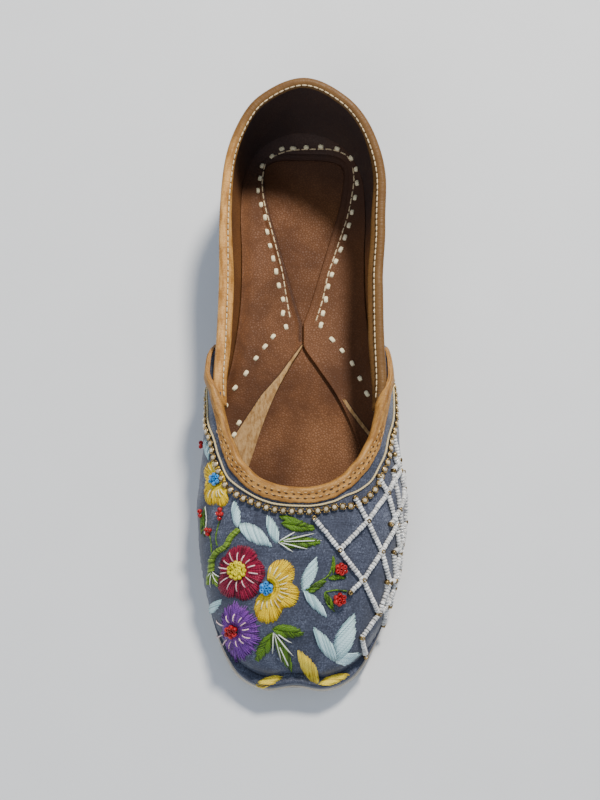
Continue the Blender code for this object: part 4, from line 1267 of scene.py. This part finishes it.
def onFlank(spots):  # places and normals on the vamp's side, from turns and heights
    turn, height = np.array(spots, float).T
    return onLast(turn, height, last["vampLayer"] + softRelief(turn, height)), lastFrame(turn, height)[0]


def makeLattice():
    centres, normals, aheads, knots, knotFaces = [], [], [], [], []
    for number, strand in enumerate(latticePixels + latticeFlank):
        onVampHere = number < len(latticePixels)
        laidOn, lift = (onVamp, lattice["vampLift"]) if onVampHere else (onFlank, lattice["flankLift"])
        fine = [np.linspace(a, b, 32, endpoint=False) for a, b in zip(strand, strand[1:])] + [[strand[-1]]]
        line, face = laidOn(np.concatenate(fine))
        face = unit(softened(face, 6))
        walked = walkedAlong(line)
        at = np.arange(lattice["pitch"] / 2, walked[-1], lattice["pitch"])
        spot, up = spotsAt(line, walked, at), unit(spotsAt(face, walked, at))
        way = unit(np.gradient(spot, axis=0))
        centres.append(spot + up * (lattice["width"] * lift) + dice.normal(0, 0.00006, spot.shape))
        normals.append(up)
        aheads.append(unit(way + dice.normal(0, 0.09, way.shape)))
        knot, knotFace = laidOn(strand)
        knots.extend(knot + knotFace * lattice["width"] * (lift + 0.1))
        knotFaces.extend(knotFace)
    centres, normals, aheads = (np.concatenate(part) for part in (centres, normals, aheads))
    square = squareTo(aheads, normals)
    wide = lattice["width"] * dice.uniform(0.93, 1.06, len(centres))
    frames = square * np.stack([wide, wide, np.full(len(wide), lattice["thick"])], axis=-1)[..., None]
    stamped("latticeBeads", bead(0.32), centres, frames, ["white"])
    stamped("latticeKnots", bead(0.25), knots, squareTo(knotFaces) * lattice["knot"], ["brass"])


makeLattice()
print("lattice strung")

# the embroidery: half widths, puffs and bead sizes in metres, pitches and lengths in the photo's pixels
work = {"thread": 0.00027, "puff": 0.00050, "pitch": 1.0, "steps": 5, "under": 0.00048, "underPuff": 0.00012,
        "ray": 0.00025, "rayPuff": 0.0013, "stem": 0.00034, "stemPuff": 0.00030, "stemStitch": 4.5,
        "wound": 0.00036, "woundPuff": 0.0011, "woundPitch": 1.45, "leafRagged": 1.9, "beadPixel": 0.00046,
        "beadDome": 0.0016}
laid = {}  # by thread: groups of stitches with paths in the photo's pixels, half a width and a puff


def lay(colour, starts, ends, width=work["thread"], puff=work["puff"]):
    starts, ends = np.atleast_2d(np.asarray(starts, float)), np.atleast_2d(np.asarray(ends, float))
    share = np.linspace(0, 1, work["steps"])[None, :, None]
    laid.setdefault(colour, []).append((starts[:, None] + (ends - starts)[:, None] * share, width, puff))


def petals(colour, centre, chart, inner, ragged=0.02):
    # long stitches out from a flower's middle to its outline, which is angles and radii in pixels
    chart, centre = np.array(chart, float), np.array(centre, float)
    angle, angles = chart[0, 0], []
    while angle < chart[-1, 0]:
        angles.append(angle)
        radius = np.interp(angle, chart[:, 0], chart[:, 1])
        angle += math.degrees(work["pitch"] / max(radius * 0.86, 4))
    angles = np.array(angles)
    radius = np.interp(angles, chart[:, 0], chart[:, 1])
    wobble = np.radians(angles + dice.normal(0, 0.5, len(angles)))
    way = np.stack([np.cos(wobble), -np.sin(wobble)], axis=-1)
    start = np.where(np.arange(len(angles)) % 2 == 0, inner, inner + (radius - inner) * 0.42)
    start = np.minimum(start, radius - 1.5) + dice.normal(0, 0.5, len(angles))
    end = radius * (1 + dice.uniform(-ragged, ragged, len(angles)))
    lay(colour, centre + way * (inner * 0.7), centre + way * (radius * 0.95)[:, None],
        work["under"], work["underPuff"])
    lay(colour, centre + way * start[:, None], centre + way * end[:, None])


def rays(colour, centre, angles, inner, outer):  # single threads laid over a flower's petals
    angles = np.radians(np.array(angles, float))
    way = np.stack([np.cos(angles), -np.sin(angles)], axis=-1)
    inner = inner * dice.uniform(0.95, 1.1, len(angles))[:, None]
    outer = outer * dice.uniform(0.85, 1.1, len(angles))[:, None]
    lay(colour, np.array(centre) + way * inner, np.array(centre) + way * outer, work["ray"], work["rayPuff"])


def leaf(colour, base, tip, width, slant, vein=False):
    # slanted satin stitches over a leaf, or two rows that meet at its vein
    base, tip = np.array(base, float), np.array(tip, float)
    size = np.linalg.norm(tip - base)
    ahead = (tip - base) / size
    beside = np.array([-ahead[1], ahead[0]])
    starts, ends = [], []
    for sign in ((1, -1) if vein else (1,)):
        lean = math.radians(slant) * sign
        way = ahead * math.cos(lean) + beside * math.sin(lean)
        across = beside * math.cos(lean) - ahead * math.sin(lean)
        for offset in np.arange(-size, size, work["pitch"]):
            points = (base + tip) / 2 + way * np.linspace(-size, size, 400)[:, None] + across * offset
            a, b = (points - base) @ ahead / size, (points - base) @ beside
            edge = width / 2 * np.sin(math.pi * np.clip(a, 0, 1) ** 0.85) ** 0.85
            inside = (a > 0) & (a < 1) & (np.abs(b) < edge)
            if vein:
                inside &= b * sign > -0.3
            inside = np.flatnonzero(inside)
            if len(inside) > 3 + 400 * 1.2 / (2 * size):
                starts.append(points[inside[0]] - way * dice.uniform(0, work["leafRagged"] * 0.5))
                ends.append(points[inside[-1]] + way * dice.uniform(-0.3, work["leafRagged"]))
    lay(colour, starts, ends)


def stem(colour, points, width=work["stem"]):  # short stitches end over end
    line = smoothLine(points, work["stemStitch"])
    lay(colour, line[:-1], line[1:] + (line[1:] - line[:-1]) * 0.25, width, work["stemPuff"])


def whipped(colour, points, half):  # a padded stem with thread wound over it
    line = smoothLine(points, work["woundPitch"])
    way = unit(np.gradient(line, axis=0))
    side = np.stack([-way[:, 1], way[:, 0]], axis=-1) * half
    lean = way * half * 0.35
    lay(colour, line - side - lean, line + side + lean, work["wound"], work["woundPuff"])


beadSets = {}  # by glass: beads as x, y and size in the photo's pixels, and how far up the dome each sits


def cluster(colour, centre, radius, size, dome=0.5, squash=1.0):  # rings of beads round a centre, in pixels
    for ring, reach in enumerate(np.arange(0, radius - size * 0.45, size * 0.9)):
        count = 1 if ring == 0 else int(round(2 * math.pi * reach / size))
        for k in range(count):
            angle = 2 * math.pi * (k + 0.5 * ring) / count + dice.normal(0, 0.05)
            out = reach + dice.normal(0, 0.15)
            spot = (centre[0] + out * math.cos(angle), centre[1] + out * math.sin(angle) * squash)
            beadSets.setdefault(colour, []).append((*spot, size, dome * (1 - (reach / radius) ** 2)))


def embroider():
    crimson = [(-180, 18), (-160, 19.5), (-142, 25.5), (-125, 28.6), (-108, 28.2), (-96, 27.0), (-84, 29.8),
               (-66, 31.5), (-52, 30.5), (-38, 27.5), (-26, 26.2), (-10, 27.6), (8, 26.8), (22, 25.2), (30, 23.2),
               (44, 26.0), (60, 26.5), (76, 26.6), (90, 25.6), (104, 23.8), (118, 22.0), (128, 19.6), (142, 20.8),
               (160, 19.4), (180, 18)]
    petals("crimson", (238, 571), crimson, 8.0)
    rays("pink", (238, 571), [-172, -144, -118, -90, -64, -36, -8, 18, 42, 66, 88, 112, 140, 168], 8.6, 21.0)
    cluster("lemon", (238, 570.5), 9.8, 4.1)
    yellow = [(-130, 17.4), (-119, 26.6), (-106, 33.9), (-90.5, 36.3), (-74, 35.5), (-61.7, 30.3), (-52, 26.2),
              (-40, 31), (-26.8, 33.6), (-10, 33.4), (1.6, 30), (9.6, 25), (23, 30), (36, 33.7), (54, 33.8),
              (70.6, 29), (86, 20)]
    petals("yellow", (267, 587.5), yellow, 9.0)
    rays("straw", (267, 587.5), [-120, -104, -88, -72, -58, -44, -30, -16, -2, 14, 30, 46, 62, 78], 12.0, 24.0)
    cluster("blue", (267, 587.5), 10.4, 4.8)
    purple = [(-190, 10), (-160, 10.5), (-126, 13), (-99, 20.6), (-87, 29.5), (-76, 28.0), (-66, 30.5), (-54, 27.5),
              (-42, 28.5), (-30, 25.8), (-19, 27.0), (-6, 24.6), (8, 26.2), (20, 24.2), (31, 26.0), (46, 24.0),
              (60.6, 26.5), (76, 26.0), (90, 28.8), (102, 24.8), (112, 22.0), (124, 17.6), (138, 14.5), (156, 11.5),
              (170, 10)]
    petals("purple", (233, 631), purple, 8.0, 0.12)
    rays("pink", (233, 631), [-160, -122, -96, -70, -46, -20, 8, 34, 56, 82, 110, 146], 8.6, 20.0)
    cluster("red", (233, 631), 9.6, 4.7, 0.35)
    half = [(-218, 15.7), (-200, 12.5), (-180, 9.7), (-160, 11.5), (-141.6, 14.5), (-119.5, 23), (-105.5, 26.8),
            (-97, 25.5), (-91, 23.3), (-79, 28.5), (-68, 27.0), (-61, 24.8), (-53, 18.7), (-35, 12.0), (0, 9),
            (40, 9.5), (71, 11.4), (88, 17.5), (101, 20.4), (120, 18.5), (142, 15.7)]
    petals("yellow", (216.5, 480), half, 6.5)
    rays("straw", (216.5, 480), [-112, -98, -84, -72, -60, 96, 112], 9.0, 19.0)
    cluster("blue", (216.5, 479.5), 7.0, 3.9, 0.4, 1.3)

    whipped("stem", [(238.5, 529.5), (231, 537), (225.5, 546.5), (217, 552), (212.5, 560), (211.5, 571)], 3.0)
    leaf("stem", (212, 570), (208, 586), 6, 28, True)
    leaf("stem", (213, 572), (217, 587), 6, 28, True)
    for tip in ((207, 580), (211, 588), (218.5, 584), (220, 577)):
        lay("pale", [(212.5, 571)], [tip], 0.0002, 0.0008)
    mint = [((206.5, 614), (221, 600), 8, 24), ((209, 460), (206, 438), 6.5, 20), ((238, 528), (234, 500), 8.6, 20),
            ((239.5, 524), (271.5, 546), 15.5, 34), ((277.5, 543.5), (267.5, 515.5), 10.5, 22),
            ((302.5, 591), (316.5, 557.5), 12.5, 24), ((303.5, 590), (327, 617), 9.5, 20),
            ((336, 661), (313.5, 628), 12.5, 16), ((336.5, 660), (353.5, 614), 18.5, 22),
            ((336, 662.5), (361, 653), 10.5, 18)]
    for base, tip, width, slant in mint:
        leaf("mint", base, tip, width, slant)

    leaf("green", (281, 523), (316, 529), 11, 34, True)
    leaf("green", (279, 516), (303, 523.5), 6.5, 30)
    leaf("green", (279, 543), (321, 542), 12.5, 32, True)
    for tip in ((295, 532), (314, 533.5), (321.5, 540.5), (307.5, 549), (293, 552)):
        lay("pale", [(278, 542)], [tip], 0.00024, 0.0010)
    leaf("green", (273, 632.5), (256, 661.5), 12, 32, True)
    leaf("green", (272.5, 629), (303.5, 633.5), 13, 34, True)
    leaf("green", (276, 636), (292, 671), 11, 24)
    for start, tip in (((275, 631.5), (292, 643)), ((274, 632), (293.5, 656)), ((277, 641), (291, 670.5)),
                       ((274, 632), (281.5, 662)), ((273.5, 632), (272.5, 653.5))):
        lay("pale", [start], [tip], 0.00024, 0.0010)

    leaf("gold", (318, 684), (298, 650.5), 13.5, 24)
    leaf("gold", (319, 684.5), (348.5, 674.5), 9.5, 18)
    leaf("gold", (255.5, 686), (282.5, 676.5), 9, 16)

    stem("green", [(306, 590.5), (316, 583), (326, 577.5), (331, 570), (333, 557)])
    leaf("green", (308, 592), (326, 580), 7, 30)
    leaf("green", (328, 578), (347, 577), 5, 24)
    stem("green", [(325, 592), (336, 590), (346, 591)])
    stem("green", [(325, 592), (326, 602), (331, 608), (334, 611)])
    leaf("green", (324.5, 592.5), (334, 609), 5.5, 24)
    leaf("green", (333, 574), (333.5, 557), 3.6, 14)
    stem("green", [(221, 518), (218, 528), (216, 538), (217.5, 545)], 0.0003)
    stem("green", [(210, 534), (211.5, 543), (212, 552)], 0.0003)
    stem("green", [(205, 507), (204.5, 522), (205, 536)], 0.0003)
    leaf("green", (203.5, 512), (202, 534), 4.5, 16)
    stem("pale", [(205.5, 506), (207, 520), (205, 534)], 0.00024)
    for spot, reach in (((340.5, 569), 8.0), ((339, 599), 8.2)):
        cluster("red", spot, reach, 4.6, 0.35)
    for spot in ((221.5, 509.5), (219.5, 513.5), (222.8, 514), (221, 518.5), (208.5, 530), (211.8, 530.6),
                 (210, 534.2), (203, 442.5), (203.6, 446.6), (202, 511), (202.4, 515.4)):
        beadSets["red"].append((*spot, 4.1, 0.15))


def makeEmbroidery():  # the threads and beads that were laid
    for colour, groups in laid.items():
        paths, normals, wide, tall = [], [], [], []
        for pixels, width, puff in groups:
            place, face = onVamp(pixels)
            length = np.linalg.norm(place[:, -1] - place[:, 0], axis=-1)
            arch = np.sin(math.pi * np.linspace(0, 1, work["steps"])) ** 0.6
            rise = np.minimum(puff, 0.30 * length)[:, None] * arch * dice.uniform(0.8, 1.2, (len(place), 1))
            paths.append(place + face * (rise + width * 0.2)[..., None])
            normals.append(face)
            own = width * dice.uniform(0.88, 1.15, (len(place), 1))
            wide.append(own * taper(work["steps"], 0.45))
            tall.append(own * 0.8 * taper(work["steps"], 0.45))
        tubes(colour + "Stitches", np.concatenate(paths), np.concatenate(normals), np.concatenate(wide),
              np.concatenate(tall), [colour])
    for colour, spots in beadSets.items():
        spots = np.array(spots)
        place, face = onVamp(spots[:, :2])
        size = spots[:, 2] * work["beadPixel"]
        centre = place + face * (size * 0.45 + spots[:, 3] * work["beadDome"])[:, None]
        axis = unit(face + dice.normal(0, 0.4, face.shape))
        frames = squareTo(axis) * np.stack([size, size, size * 0.86], axis=-1)[..., None]
        stamped(colour + "Beads", bead(0.16, 8), centre, frames, [colour])


embroider()
makeEmbroidery()
print("embroidery worked:", sum(len(group[0]) for groups in laid.values() for group in groups), "stitches")

makeCamera()


def softLight(name, place, aim, size, power, colour):  # a round lamp aimed at a place
    data = bpy.data.lights.new(name, "AREA")
    data.shape, data.size, data.energy, data.color = "DISK", size, power, colour
    lamp = bpy.data.objects.new(name, data)
    lamp.location = place
    lamp.rotation_euler = (Vector(aim) - Vector(place)).to_track_quat("-Z", "Y").to_euler()
    bpy.context.scene.collection.objects.link(lamp)


softLight("keyLight", (0.32, 0.72, 1.10), (0, 0, 0.02), 0.22, 25, (1.0, 0.96, 0.90))
softLight("fillLight", (-0.5, -0.9, 1.1), (0, 0, 0.02), 1.0, 7, (0.92, 0.96, 1.0))
world = bpy.data.worlds.new("studio")
world.use_nodes = True
world.node_tree.nodes["Background"].inputs[0].default_value = (0.60, 0.74, 1.00, 1)
world.node_tree.nodes["Background"].inputs[1].default_value = 0.44
bpy.context.scene.world = world

floorMesh = bmesh.new()
bmesh.ops.create_grid(floorMesh, x_segments=2, y_segments=2, size=3.0)
floorFinish = Finish("paleFloor", {"Roughness": 0.75})
paper = floorFinish.noise(floorFinish.coordinate(), 30.0, 3.0, 0.5)
floorFinish.drive({"Base Color": floorFinish.mix(paper, srgb(226, 226, 224), srgb(232, 232, 230))})
floorData = bpy.data.meshes.new("floor")
floorMesh.to_mesh(floorData)
floorMesh.free()
floorData.materials.append(floorFinish.material)
floor = bpy.data.objects.new("floor", floorData)
bpy.context.scene.collection.objects.link(floor)
